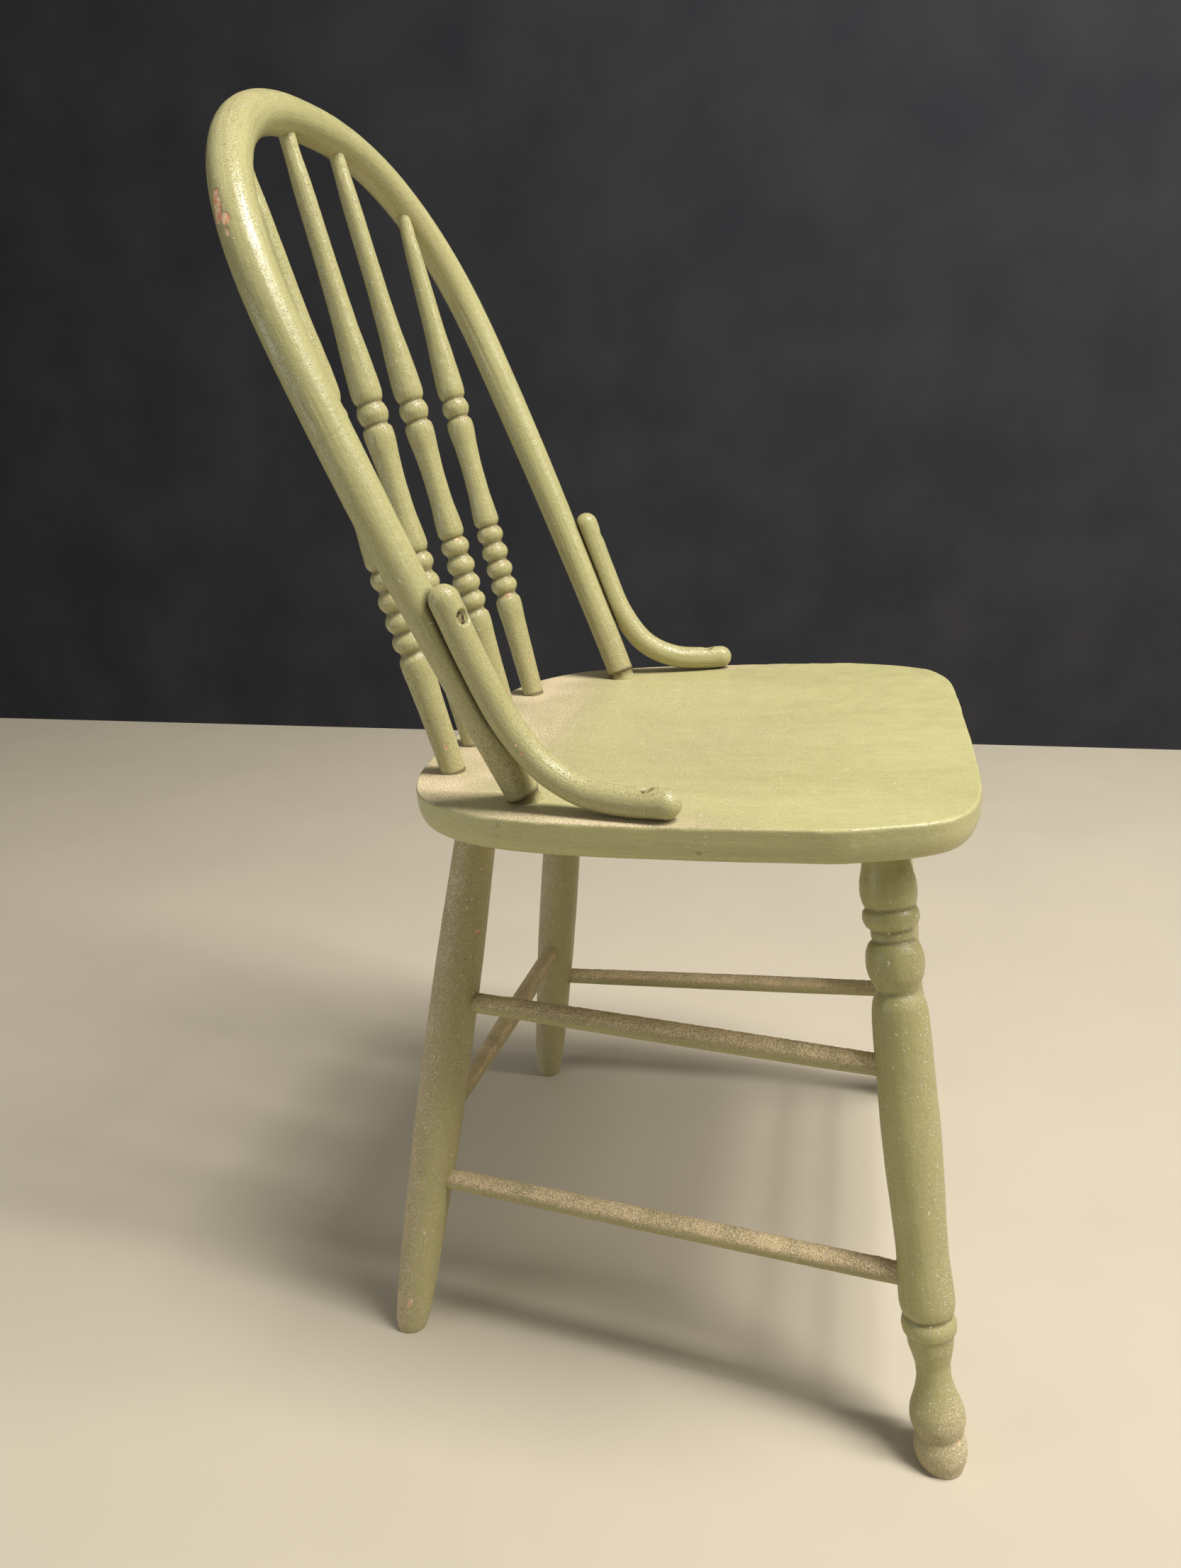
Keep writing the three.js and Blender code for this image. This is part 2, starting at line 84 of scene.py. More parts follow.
HOOP = {
    "base_x": 158.7 * MM,
    "base_y": 116.7 * MM,
    "rake": 0.366,  # radians
    "half_width": 185.6 * MM,
    "side_rise": 290 * MM,
    "rise": 454 * MM,
    "side_bow": 1.95,
    "arch_squareness": 2.36,
    "arch_share": 0.4,
    "radius": 12.8 * MM,
    "foot_radius": 11.1 * MM,
    "taper_rise": 270 * MM,
    "shoulder_rise": 5.2 * MM,
    "tenon_radius": 9.8 * MM,
    "tenon_depth": 14 * MM,
}

BRACE_RADIUS = 9.5 * MM
# Centre line in the seat frame, from the hoop down and forward, for the left side.
BRACE_LINE = [
    (186, 147, 132), (182.4, 133.5, 92), (177.6, 118, 54), (176.5, 98, 27), (181, 74, 13.6), (187, 48, 9.9),
]
BRACE_FRONT = {"right": (191, 22, 9.8), "left": (191, 33, 9.8)}

# Turned profiles: radius and distance along the piece, in millimetres.
FRONT_LEG_PROFILE = [
    (13.2, -8), (14.2, 0), (15.3, 2.2), (17, 8), (17.2, 13), (16.2, 19), (15.3, 22.7), (16.6, 26.5),
    (17.9, 33), (17.5, 39), (15.4, 46), (12.8, 54), (11.2, 63), (11.2, 70), (12.7, 78), (14.6, 86),
    (15.3, 93), (17.3, 96), (17.7, 100), (16.9, 104), (15.4, 106.8), (17, 110), (17.9, 117), (17.5, 130),
    (16.5, 151), (17.3, 181), (18.3, 210), (18.7, 235), (18.2, 265), (18.1, 290), (17.6, 308), (16.8, 316),
    (15, 321.5), (13, 325.7), (14.8, 330.5), (17.3, 337), (18.1, 344), (17.4, 350.5), (15.5, 355.5),
    (12.7, 359), (13.3, 361), (13.2, 365), (16, 368), (17.5, 373), (17, 376.6), (15.2, 379.4),
    (16.6, 382.5), (17.6, 389), (17.3, 395), (15.8, 402), (14.8, 408), (14.5, 450),
]
REAR_LEG_PROFILE = [
    (9.6, -8), (10.6, 0), (11.4, 2.2), (12.7, 10), (14.6, 42), (15.9, 80), (16.7, 125), (17.6, 165),
    (17.7, 200), (17.4, 255), (16.8, 305), (16.1, 335), (15.2, 365), (14.4, 395), (13.9, 450),
]
SPINDLE_FOOT = [(8.5, -12), (8.6, 8), (9.1, 38), (9.8, 62), (10.7, 77), (10.3, 82.5), (8.2, 86)]
SPINDLE_BEADS = [94.5, 108.6, 122.9, 137.7]
BEAD = {"radius": 10.9, "half": 6, "groove": 7.8}
SPINDLE_VASE = [
    (7.8, 144.2), (9.2, 146), (10.3, 149.5), (9.9, 158), (8.7, 174), (8.5, 192), (9.3, 210), (10.6, 226),
    (10.2, 230.5), (8.1, 234), (9.4, 236), (10.9, 241.5), (9.6, 246.4), (8.6, 248.2), (10.1, 251),
    (10.8, 256), (10.5, 266), (9.6, 281), (8.2, 301), (7.2, 330),
]
SPINDLE_TOP = [(6.4, -40), (5.2, -12), (5.2, 0)]  # distances from the spindle's top
SPINDLE_TENON = 13 * MM
LEG_TENON = 15 * MM

SCREW = {"radius": 4 * MM, "sink": 3 * MM, "slot": 1 * MM, "from_end": 12 * MM, "well": 4.6 * MM}

# Each hairline scarf joint lies this far along the hoop from its right foot.
SCARFS = [257 * MM, 944 * MM]
# The hoop's open grain starts and is full this far along it.
HOOP_GRAIN = (720 * MM, 840 * MM)

# Chips: a spot in the piece's grain coordinates, half the length and half the width, in millimetres.
CHIPS = {
    "hoop": [
        ((12.4, -3, 390), 9, 3.6), ((11, -6.5, 383), 4, 3), ((12.8, -0.5, 379), 4.5, 3),
        ((12.6, -2, 372), 4, 1.4),
    ],
    "brace_right": [((-9.4, 0.8, 104), 1.8, 1.5), ((-9.5, 0, 111), 1.5, 1.8)],
    "spindle_outer_right": [((-8.5, -1, 62), 3, 1.2), ((-8, -2, 48), 4, 1.1), ((-7.5, -4, 20), 2, 1)],
    "spindle_outer_left": [((-7, -3, 87), 1.2, 4), ((-6.5, -6, 30), 1.6, 1)],
    "spindle_inner_left": [((-6, -6, 143), 1, 2.6)],
    "rear_leg_right": [((-9.3, -13.3, 331), 2.4, 2), ((-13.9, -1.2, 29), 5, 2.6), ((-12, 7, 16), 2, 2)],
    "rear_leg_left": [((-9.5, -11.4, 47), 2, 1.6)],
    "front_leg_right": [((-9.9, -11.8, 22), 3, 2), ((-14, 10, 196), 1.2, 1), ((-16, -3, 33), 1.4, 1.6)],
    "front_leg_left": [((11, -12, 34), 2.5, 2)],
}
CHIP_DEPTH = {"hoop": 0.28, "brace": 0.2, "spindle": 0.2, "leg": 0.25}
SEAT_SCUFF = {"back": 126 * MM, "half": 11 * MM, "chip": 0.4}
SEAT_STAIN = {"spot": (-202.1, -16.4, 1.8), "radius": 1.6}

# Points round each kind of piece, the distance between its rings, and the height in millimetres of its
# paint's ridges and lumps.
STEP = {"rim": 0.7 * MM, "hoop": 1.2 * MM, "brace": 0.9 * MM, "rod": 0.8 * MM, "leg": 0.85 * MM}
SIDES = {"seat": 420, "hoop": 80, "brace": 72, "screw": 56, "spindle": 56, "leg": 72, "stretcher": 56}
BRUSH = {
    "seat": (0.035, 0.035), "hoop": (0.09, 0.06), "brace": (0.07, 0.05),
    "spindle": (0.1, 0.1), "leg": (0.08, 0.08), "stretcher": (0.06, 0.07),
}

# Dust, 0 to 1: what lies everywhere, the most added on faces that look its way (up, unless it says another),
# and the cosines where that starts and is full.
DUST = {
    "hoop": {"base": 0.04, "most": 0.2, "low": 0.45, "high": 0.95},
    "brace": {"base": 0.08, "most": 0.16, "low": 0.2, "high": 0.95},
    "spindle": {"base": 0.07, "most": 0.3, "low": 0.1, "high": 0.8},
    "front_leg": {"base": 0.06, "most": 0.26, "low": 0, "high": 1, "way": (-0.2, -0.8, 0.6)},
    "rear_leg": {"base": 0.2, "most": 0.5, "low": -0.2, "high": 0.9, "way": (-0.3, 1, 0.4)},
    "stretcher": {"base": 0.1, "most": 0.98, "low": -0.05, "high": 0.6},
}
# What gathers at a piece's lower end: how much, and where it starts and is full.
LOW_DUST = {
    "hoop": (0.22, 90 * MM, 5 * MM),
    "spindle": (0.14, 90 * MM, 0),
    "front_leg": (0.34, 70 * MM, 10 * MM),
    "rear_leg": (0.06, 70 * MM, 10 * MM),
}
FRONT_LEG_DUST_REACH = 150 * MM
# The seat's dust: a deck behind the spindles, the rim's rear margin, a thin film, and a sprinkled place.
SEAT_DUST = {
    "deck": (95 * MM, 175 * MM),
    "margin": (0.86, 0.95),
    "margin_back": (-60 * MM, 60 * MM),
    "margin_share": 0.9,
    "thick": 0.62,
    "film": 0.08,
    "film_back": (-90 * MM, 60 * MM),
    "sprinkle": 0.16,
    "sprinkle_at": (-30 * MM, 30 * MM),
    "sprinkle_reach": (130 * MM, 75 * MM),
}
# Strength of the dirt in a joint's corner, then of the painted shade where a piece comes close to another.
JOINT_DIRT, TOUCH_SHADE = 1.5, 1.7

ROOM = {"reach_x": 1.4, "reach_y": 2.6, "height": 3.2}
SIGN = {"right": -1, "left": 1}


# ---- Numbers ----
def smoothstep(x, low, high):
    share = np.clip((np.asarray(x, float) - low) / (high - low), 0, 1)
    return share * share * (3 - 2 * share)


def unit(v):
    v = np.asarray(v, float)
    return v / np.maximum(np.linalg.norm(v, axis=-1, keepdims=True), 1e-12)


def lumps(points, size, seed):
    """Smooth seeded noise from -1 to 1, with lumps about size across (one size, or one per axis)."""
    scaled = np.asarray(points, float) / np.asarray(size, float)
    cell = np.floor(scaled).astype(np.int64)
    share = scaled - cell
    share = share * share * (3 - 2 * share)
    total = np.zeros(scaled.shape[:-1])
    for corner in np.ndindex(2, 2, 2):
        at = cell + np.array(corner)
        mixed = seed * 961748927
        for axis, prime in enumerate((73856093, 19349663, 83492791)):
            mixed = mixed ^ (at[..., axis] * prime)
        mixed = (mixed * 1274126177) & 0x7FFFFFFF
        mixed = ((mixed ^ (mixed >> 15)) * 668265263) & 0x7FFFFFFF
        mixed ^= mixed >> 13
        weight = np.prod(np.where(np.array(corner) == 1, share, 1 - share), axis=-1)
        total += weight * (mixed / 0x7FFFFFFF * 2 - 1)
    return total


def smooth_profile(points, step):
    """(distances, radii) in metres through (radius, distance) points, with no overshoot between them."""
    radii, at = (np.array(column, float) * MM for column in zip(*points))
    slopes = np.diff(radii) / np.diff(at)
    bends = np.zeros(len(at))
    same_way = slopes[:-1] * slopes[1:] > 0
    before, after = slopes[:-1][same_way], slopes[1:][same_way]
    bends[1:-1][same_way] = 2 * before * after / (before + after)
    fine = np.linspace(at[0], at[-1], int((at[-1] - at[0]) / step) + 2)
    i = np.clip(np.searchsorted(at, fine) - 1, 0, len(at) - 2)
    width = at[i + 1] - at[i]
    t = (fine - at[i]) / width
    values = (
        radii[i] * (1 + 2 * t) * (1 - t) ** 2
        + bends[i] * width * t * (1 - t) ** 2
        + radii[i + 1] * t**2 * (3 - 2 * t)
        + bends[i + 1] * width * t**2 * (t - 1)
    )
    return fine, values


def distances(line):
    """How far along the line each of its points is."""
    return np.concatenate([[0], np.cumsum(np.linalg.norm(np.diff(line, axis=0), axis=1))])


def spaced(points, step):
    """The same line with its points evenly spaced."""
    gone = distances(points)
    fine = np.linspace(0, gone[-1], int(gone[-1] / step) + 2)
    return np.stack([np.interp(fine, gone, points[:, k]) for k in range(3)], axis=1)


def blend(t, t0, a, t1, b):
    """From a at t0 to b at t1 in a straight line."""
    return (t1 - t) / (t1 - t0) * a + (t - t0) / (t1 - t0) * b


def curve_through(points, pieces=40):
    """A centripetal Catmull-Rom line through the points."""
    p = np.asarray(points, float)
    p = np.vstack([2 * p[0] - p[1], p, 2 * p[-1] - p[-2]])
    line = []
    for a, b, c, d in zip(p[:-3], p[1:-2], p[2:-1], p[3:]):
        t0 = 0.0
        t1 = t0 + np.linalg.norm(b - a) ** 0.5
        t2 = t1 + np.linalg.norm(c - b) ** 0.5
        t3 = t2 + np.linalg.norm(d - c) ** 0.5
        for t in np.linspace(t1, t2, pieces, endpoint=False):
            ab, bc, cd = blend(t, t0, a, t1, b), blend(t, t1, b, t2, c), blend(t, t2, c, t3, d)
            line.append(blend(t, t1, blend(t, t0, ab, t2, bc), t2, blend(t, t1, bc, t3, cd)))
    return np.array(line + [p[-2]])


# ---- Places, read from the CAD nodes ----
def cad_points(node):
    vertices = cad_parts[node].data.vertices
    points = np.empty(len(vertices) * 3)
    vertices.foreach_get("co", points)
    return np.unique(points.reshape(-1, 3).round(6), axis=0)


def end_centre(points, way):
    """The middle of the flat end that lies furthest that way."""
    depth = points @ way
    return points[depth > depth.max() - 0.4 * MM].mean(axis=0)


def rod_axis(node):
    """The middles of a straight node's two flat ends, the lower one first."""
    points = cad_points(node)
    spread = points - points.mean(axis=0)
    way = np.linalg.svd(spread, full_matrices=False)[2][0]
    way = way if way[2] > 0 else -way
    for _ in range(2):
        low, high = end_centre(points, -way), end_centre(points, way)
        way = unit(high - low)
    return low, high


def leg_axis(node):
    """A leg's axis, from the middle of its sole to its tenon's end."""
    points = cad_points(node)
    sole = points[points[:, 2] < 0.05 * MM]
    foot = (sole.min(axis=0) + sole.max(axis=0)) / 2
    way = unit(points[np.argmax(points[:, 2])] - foot)
    for _ in range(2):
        top = end_centre(points, way)
        way = unit(top - foot)
    return foot, top


def find_seat_frame():
    """Origin at the rim's flat top over the seat's datum, +Z square to the plank, +Y to the rear."""
    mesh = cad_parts["seat"].data
    under = [p for p in mesh.polygons if p.normal.z < -0.999]
    up = unit(-sum((np.array(p.normal) * p.area for p in under), np.zeros(3)))
    across = np.array([1.0, 0.0, 0.0])
    back = np.cross(up, across)
    corners = np.array([mesh.vertices[v].co for p in under for v in p.vertices])
    reach = corners @ back
    front_y = SEAT["widest_at"] - SEAT["front_reach"]
    rear_y = SEAT["widest_at"] + SEAT["rear_reach"]
    middle = (reach.min() + reach.max()) / 2 - (front_y + rear_y) / 2
    height = (corners @ up).mean() + SEAT_THICKNESS
    matrix = np.eye(4)
    matrix[:3, 0], matrix[:3, 1], matrix[:3, 2] = across, back, up
    matrix[:3, 3] = middle * back + height * up
    return matrix


def along(origin, end):
    """The matrix that lays +Z from one point towards another, with +X kept as level as it can be."""
    z = unit(np.asarray(end, float) - origin)
    x = unit(np.cross([0, 1, 0] if abs(z[1]) < 0.9 else [1, 0, 0], z))
    matrix = np.eye(4)
    matrix[:3, 0], matrix[:3, 1], matrix[:3, 2], matrix[:3, 3] = x, np.cross(z, x), z, origin
    return matrix


SEAT_FRAME = find_seat_frame()


# ---- Meshes ----
class Surface:
    """A closed grid of points, ring by ring, with the attributes that the paint reads."""

    def __init__(self, rings, grain, matrix, seed):
        self.rings = rings  # (rings, points in a ring, 3), in the piece's own frame
        self.grain = grain
        self.matrix = matrix
        self.seed = seed
        self.dust = np.zeros(rings.shape[:2])
        self.chip = np.zeros(rings.shape[:2])
        self.relief_and_shade = np.zeros(rings.shape[:2])

    def normals(self):
        around = np.roll(self.rings, -1, axis=1) - np.roll(self.rings, 1, axis=1)
        on = np.gradient(self.rings, axis=0)
        return unit(np.cross(around, on))

    def world_normals(self):
        return self.normals() @ self.matrix[:3, :3].T

    def world(self):
        return self.rings @ self.matrix[:3, :3].T + self.matrix[:3, 3]

    def push(self, depth):
        """Moves each point out along the surface's normal."""
        self.rings = self.rings + self.normals() * depth[..., None]

    def brush(self, ridges, lump):
        """Thick brushed paint: ridges along the grain, and soft lumps, with heights in millimetres."""
        depth = ridges * lumps(self.grain, (1.7 * MM, 1.7 * MM, 34 * MM), self.seed)
        depth += ridges * 0.7 * lumps(self.grain, (3.4 * MM, 3.4 * MM, 80 * MM), self.seed + 1)
        depth += lump * lumps(self.grain, 5 * MM, self.seed + 2)
        depth += lump * 1.5 * lumps(self.grain, (30 * MM, 30 * MM, 45 * MM), self.seed + 3)
        self.push(depth * MM)

    def settle_dust(self, low, high, most, base=0.0, way=(0, 0, 1)):
        """Dust on faces that look that way, starting at one cosine and full at the other."""
        facing = smoothstep(self.world_normals() @ unit(way), low, high)
        patchy = 0.75 + 0.25 * lumps(self.grain, 14 * MM, self.seed + 4)
        self.dust = np.clip(base + most * facing * patchy, 0, 1)

    def gather_dust(self, height, amount, high, low):
        """More dust towards the piece's lower end."""
        self.dust = np.clip(self.dust + amount * smoothstep(height, high, low), 0, 1)

    def soil(self, at, reach):
        """Dirt caught in the corner of a joint, at a distance along the piece."""
        self.relief_and_shade -= JOINT_DIRT * np.exp(-(((self.grain[..., 2] - at) / reach) ** 2))

    def stain(self, spot, radius):
        """A small dark spot about a point in grain coordinates, in millimetres."""
        away = np.linalg.norm(self.grain / MM - np.asarray(spot, float), axis=-1)
        self.relief_and_shade -= np.exp(-((away / radius) ** 2))

    def shade_beside(self, line, radii, reach):
        """Painted shade where the surface comes close to another round piece."""
        self.relief_and_shade -= TOUCH_SHADE * smoothstep(gap_to(self.rings, line, radii)[0], reach, 0)

    def fluff(self, height):
        """Raises thick dust into a rough felt."""
        rough = lumps(self.grain, 1.3 * MM, self.seed + 5) + 0.7 * lumps(self.grain, 2.9 * MM, self.seed + 6)
        self.push(height * np.clip(self.dust - 0.35, 0, 1) * (0.5 + rough))

    def knock(self, chips, depth):
        """Chips in the paint, with their depth in millimetres."""
        for spot, length, width in chips:
            offset = (self.grain / MM - np.asarray(spot, float)) / np.array([width, width, length])
            ragged = 0.35 * lumps(self.grain, 3 * MM, self.seed + 7)
            field = np.clip(1.25 - np.linalg.norm(offset, axis=-1) + ragged, 0, 1)
            self.chip = np.maximum(self.chip, field)
            self.push(-depth * MM * smoothstep(field, 0.3, 0.6))

    def mesh(self, name):
        count, sides = self.rings.shape[:2]
        ends = np.array([self.rings[0].mean(axis=0), self.rings[-1].mean(axis=0)])
        points = np.vstack([self.rings.reshape(-1, 3), ends]) @ self.matrix[:3, :3].T + self.matrix[:3, 3]
        first, last = count * sides, count * sides + 1
        ring = np.arange(sides)
        after = (ring + 1) % sides
        row = (np.arange(count - 1) * sides)[:, None]
        corners = [row + ring, row + after, row + sides + after, row + sides + ring]
        faces = np.stack(corners, axis=-1).reshape(-1, 4).tolist()
        base = (count - 1) * sides
        faces += [[int(b), int(a), first] for a, b in zip(ring, after)]
        faces += [[base + int(a), base + int(b), last] for a, b in zip(ring, after)]
        made = bpy.data.meshes.new(name)
        made.from_pydata(points.tolist(), [], faces)
        made.polygons.foreach_set("use_smooth", np.ones(len(faces), bool))
        grain_ends = np.array([self.grain[0].mean(axis=0), self.grain[-1].mean(axis=0)])
        put_attribute(made, "grain", np.vstack([self.grain.reshape(-1, 3), grain_ends]))
        for key in ("dust", "chip", "relief_and_shade"):
            values = getattr(self, key)
            put_attribute(made, key, np.append(values.ravel(), [values[0].mean(), values[-1].mean()]))
        return made


def gap_to(rings, line, radii):
    """Each point's distance from a round piece's surface, and the nearest point of its centre line."""
    flat = rings.reshape(-1, 3)
    nearest = np.empty(len(flat), int)
    for i in range(0, len(flat), 4000):
        rows = flat[i : i + 4000]
        nearest[i : i + 4000] = ((rows[:, None] - line) ** 2).sum(axis=-1).argmin(axis=1)
    gap = np.linalg.norm(flat - line[nearest], axis=1) - radii[nearest]
    return gap.reshape(rings.shape[:2]), nearest.reshape(rings.shape[:2])


def put_attribute(mesh, name, values):
    vector = values.ndim == 2
    made = mesh.attributes.new(name, "FLOAT_VECTOR" if vector else "FLOAT", "POINT")
    made.data.foreach_set("vector" if vector else "value", values.astype(np.float32).ravel())


def tube(line, radii, sides, matrix, seed, side=(1, 0, 0)):
    """A Surface round a line of points, one radius for each, with its section carried along the line."""
    tangents = unit(np.gradient(line, axis=0))
    u = unit(np.asarray(side, float) - tangents[0] * (tangents[0] @ side))
    us = []
    for tangent in tangents:
        u = unit(u - tangent * (tangent @ u))
        us.append(u)
    us = np.array(us)
    vs = np.cross(tangents, us)
    angle = np.arange(sides) / sides * 2 * np.pi
    circle = np.stack([np.cos(angle), np.sin(angle)], axis=-1)
    radii = np.asarray(radii, float)[:, None, None]
    rings = line[:, None] + radii * (circle[:, :1] * us[:, None] + circle[:, 1:] * vs[:, None])
    flat = radii * circle[None]
    height = np.broadcast_to(distances(line)[:, None, None], flat.shape[:2] + (1,))
    grain = np.concatenate([flat, height], axis=-1)
    return Surface(rings, grain, matrix, seed)


def turned(points, matrix, seed, sides, step):
    """A turned Surface about its own +Z. Grain coordinates keep the profile's own distances."""
    at, radii = smooth_profile(points, step)
    line = np.stack([np.zeros(len(at)), np.zeros(len(at)), at], axis=1)
    surface = tube(line, radii, sides, matrix, seed)
    surface.grain[..., 2] += at[0]
    reach = int(5 * MM / step)
    padded = np.pad(radii, reach, mode="edge")
    mean = np.convolve(padded, np.ones(2 * reach + 1) / (2 * reach + 1), mode="valid")
    surface.relief_and_shade += np.clip((radii - mean) / (1.2 * MM), -1, 1)[:, None]
    return surface


def trim_at_floor(surface):
    """Slides the points that lie under the floor up the piece's own axis onto it."""
    surface.rings[..., 2] -= np.minimum(surface.world()[..., 2], 0) / surface.matrix[2, 2]


def place(surface, name, node, slot):
    """Makes the piece, gives it its paint, and puts it on the frame in place of its CAD node."""
    piece = bpy.data.objects.new(name, surface.mesh(name))
    bpy.context.scene.collection.objects.link(piece)
    piece.data.materials.append(FINISHES[slot])
    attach(piece, "root")
    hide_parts(node)


# ---- Materials ----
def srgb(red, green, blue):
    """A colour in 0-255 display values as the linear one that a shader takes."""
    values = np.array([red, green, blue]) / 255
    return (*np.where(values <= 0.04045, values / 12.92, ((values + 0.055) / 1.055) ** 2.4), 1.0)


class Nodes:
    """Short calls for a material's nodes. A value is a number, a colour or another node's socket."""

    def __init__(self, name):
        self.material = bpy.data.materials.new(name)
        self.material.use_nodes = True
        self.tree = self.material.node_tree
        self.tree.nodes.clear()

    def add(self, kind, inputs=(), **settings):
        made = self.tree.nodes.new("ShaderNode" + kind)
        for key, value in settings.items():
            setattr(made, key, value)
        for key, value in dict(inputs).items():
            if isinstance(value, bpy.types.NodeSocket):
                self.tree.links.new(value, made.inputs[key])
            else:
                made.inputs[key].default_value = value
        return made

    def attribute(self, name):
        made = self.add("Attribute", attribute_name=name)
        return made.outputs["Vector" if name == "grain" else "Fac"]

    def math(self, operation, a, b=0.0, clamp=False):
        return self.add("Math", {0: a, 1: b}, operation=operation, use_clamp=clamp).outputs[0]

    def stretch(self, vector, scale):
        return self.add("VectorMath", {0: vector, 1: scale}, operation="MULTIPLY").outputs[0]

    def noise(self, vector, scale, detail=2.0, roughness=0.5):
        inputs = {"Vector": vector, "Scale": scale, "Detail": detail, "Roughness": roughness}
        return self.add("TexNoise", inputs).outputs["Fac"]

    def between(self, value, low, high, start=0.0, end=1.0):
        inputs = {"Value": value, "From Min": low, "From Max": high, "To Min": start, "To Max": end}
        return self.add("MapRange", inputs, interpolation_type="SMOOTHSTEP").outputs["Result"]

    def mix(self, share, a, b):
        return self.add("Mix", {0: share, 6: a, 7: b}, data_type="RGBA").outputs[2]

    def bump(self, height, depth, normal=None):
        inputs = {"Height": height, "Distance": depth}
        if normal is not None:
            inputs["Normal"] = normal
        return self.add("Bump", inputs).outputs["Normal"]


# The second and third colours darken hollows and dirt, and also stand for painted shade where pieces come
# close.
STREAK, HOLLOW_AND_SHADE, GRIME_AND_SHADE, OPEN_GRAIN = srgb(104, 98, 58), srgb(88, 80, 52), srgb(50, 44, 30), srgb(96, 88, 56)
CHIP_EDGE, PRIMER, BARE_WOOD = srgb(120, 104, 62), srgb(228, 158, 116), srgb(238, 206, 168)
WHEAT, TAN, BROWN = srgb(240, 217, 174), srgb(216, 191, 148), srgb(190, 161, 119)
PINK, SAND, LINT = srgb(242, 222, 188), srgb(210, 184, 146), srgb(240, 230, 204)
STEEL, RUST, PAINT_REMAINS = srgb(70, 66, 56), srgb(112, 74, 46), srgb(148, 138, 90)
# Specks, then fibres along and across the grain: how dense their cells are, the cells' stretch, and a width.
LINT_KINDS = [(520.0, (1.0, 1.0, 1.0), 0.3), (420.0, (1.0, 1.0, 0.3), 0.24), (420.0, (0.4, 0.4, 1.0), 0.22)]


def brushed_tone(n, grain, relief_and_shade, streaks, light, dark):
    """Tonal patches and brush streaks, paler on raised edges, dirty in hollows and joints, and darker with
    painted shade where pieces come close.
    """
    patches = n.noise(n.stretch(grain, (1.0, 1.0, 0.3)), 15, 3)
    tone = n.between(n.math("ADD", patches, n.math("MULTIPLY", relief_and_shade, 0.1)), 0.34, 0.66)
    colour = n.mix(tone, dark, light)
    colour = n.mix(n.between(streaks, 0.35, 0.7, 0.0, 0.12), colour, STREAK)
    colour = n.mix(n.between(relief_and_shade, 0.25, 1.0, 0.0, 0.3), colour, light)
    # Dark in hollows and dirty joints, and painted shade where a piece comes close to another.
    colour = n.mix(n.between(relief_and_shade, -0.15, -1.0, 0.0, 0.5), colour, HOLLOW_AND_SHADE)
    return n.mix(n.between(relief_and_shade, -0.8, -1.6, 0.0, 0.75), colour, GRIME_AND_SHADE)


def hairlines(n, grain, amount):
    """The wood's open grain, which shows through the paint as long thin cracks."""
    long_noise = n.noise(n.stretch(grain, (1.0, 1.0, 0.022)), 380, 2, 0.5)
    line = n.between(n.math("ABSOLUTE", n.math("SUBTRACT", long_noise, 0.5)), 0.016, 0.0)
    where = n.between(n.noise(n.stretch(grain, (1.0, 1.0, 0.2)), 45, 2), 0.5, 0.62)
    return n.math("MULTIPLY", n.math("MULTIPLY", line, where), amount)


def chipped(n, grain, nibs, colour):
    """Primer and wood laid bare, inside a darker broken edge. Gives the colour and where it is bare."""
    chip = n.attribute("chip")
    ragged = n.math("ADD", chip, n.math("MULTIPLY", n.math("SUBTRACT", nibs, 0.5), chip))
    edge = n.between(ragged, 0.3, 0.42)
    bare = n.between(ragged, 0.42, 0.5)
    under = n.mix(n.between(n.noise(grain, 330, 3), 0.4, 0.62), PRIMER, BARE_WOOD)
    colour = n.mix(n.math("MULTIPLY", edge, 0.35), colour, CHIP_EDGE)
    return n.mix(bare, colour, under), bare


def dusted(n, grain, dust, film, colour, dust_light, dust_dark):
    """A thin film of dust, with grains where it is thick. Gives the colour, the cover and the grains."""
    grit = n.between(n.noise(grain, 1150, 4, 0.65), 0.33, 0.67)
    threshold = n.math("SUBTRACT", 1.02, dust)
    grains = n.between(n.math("SUBTRACT", grit, threshold), -0.14, 0.2)
    cover = n.math("MAXIMUM", n.math("MULTIPLY", dust, film), n.math("MULTIPLY", grains, 0.92))
    dusty = n.mix(n.between(n.noise(grain, 1100, 4, 0.75), 0.34, 0.64), dust_dark, dust_light)
    return n.mix(cover, colour, dusty), cover, grains


def lint(n, grain, dust, nibs, specks):
    """Small pale specks and short bent fibres, more of them where there is dust."""
    bend = n.add("TexNoise", {"Vector": grain, "Scale": 300.0, "Detail": 2.0}).outputs["Color"]
    bent = n.add("VectorMath", {0: n.stretch(bend, (5 * MM,) * 3), 1: grain}, operation="ADD").outputs[0]
    share = n.math("MULTIPLY", n.math("ADD", dust, 0.06), specks)
    ragged = n.math("MULTIPLY", n.math("SUBTRACT", nibs, 0.5), 0.3)
    total = 0.0
    for density, stretch, width in LINT_KINDS:
        inputs = {"Vector": n.stretch(bent, stretch), "Scale": density, "Randomness": 1.0}
        cells = n.add("TexVoronoi", inputs).outputs
        rim = n.math("ADD", cells["Distance"], ragged)
        pick = n.add("SeparateColor", {"Color": cells["Color"]}).outputs[0]
        chosen = n.math("GREATER_THAN", share, pick)
        piece = n.math("MULTIPLY", n.between(rim, width, width * 0.5), chosen)
        total = n.math("MAXIMUM", total, piece)
    return total


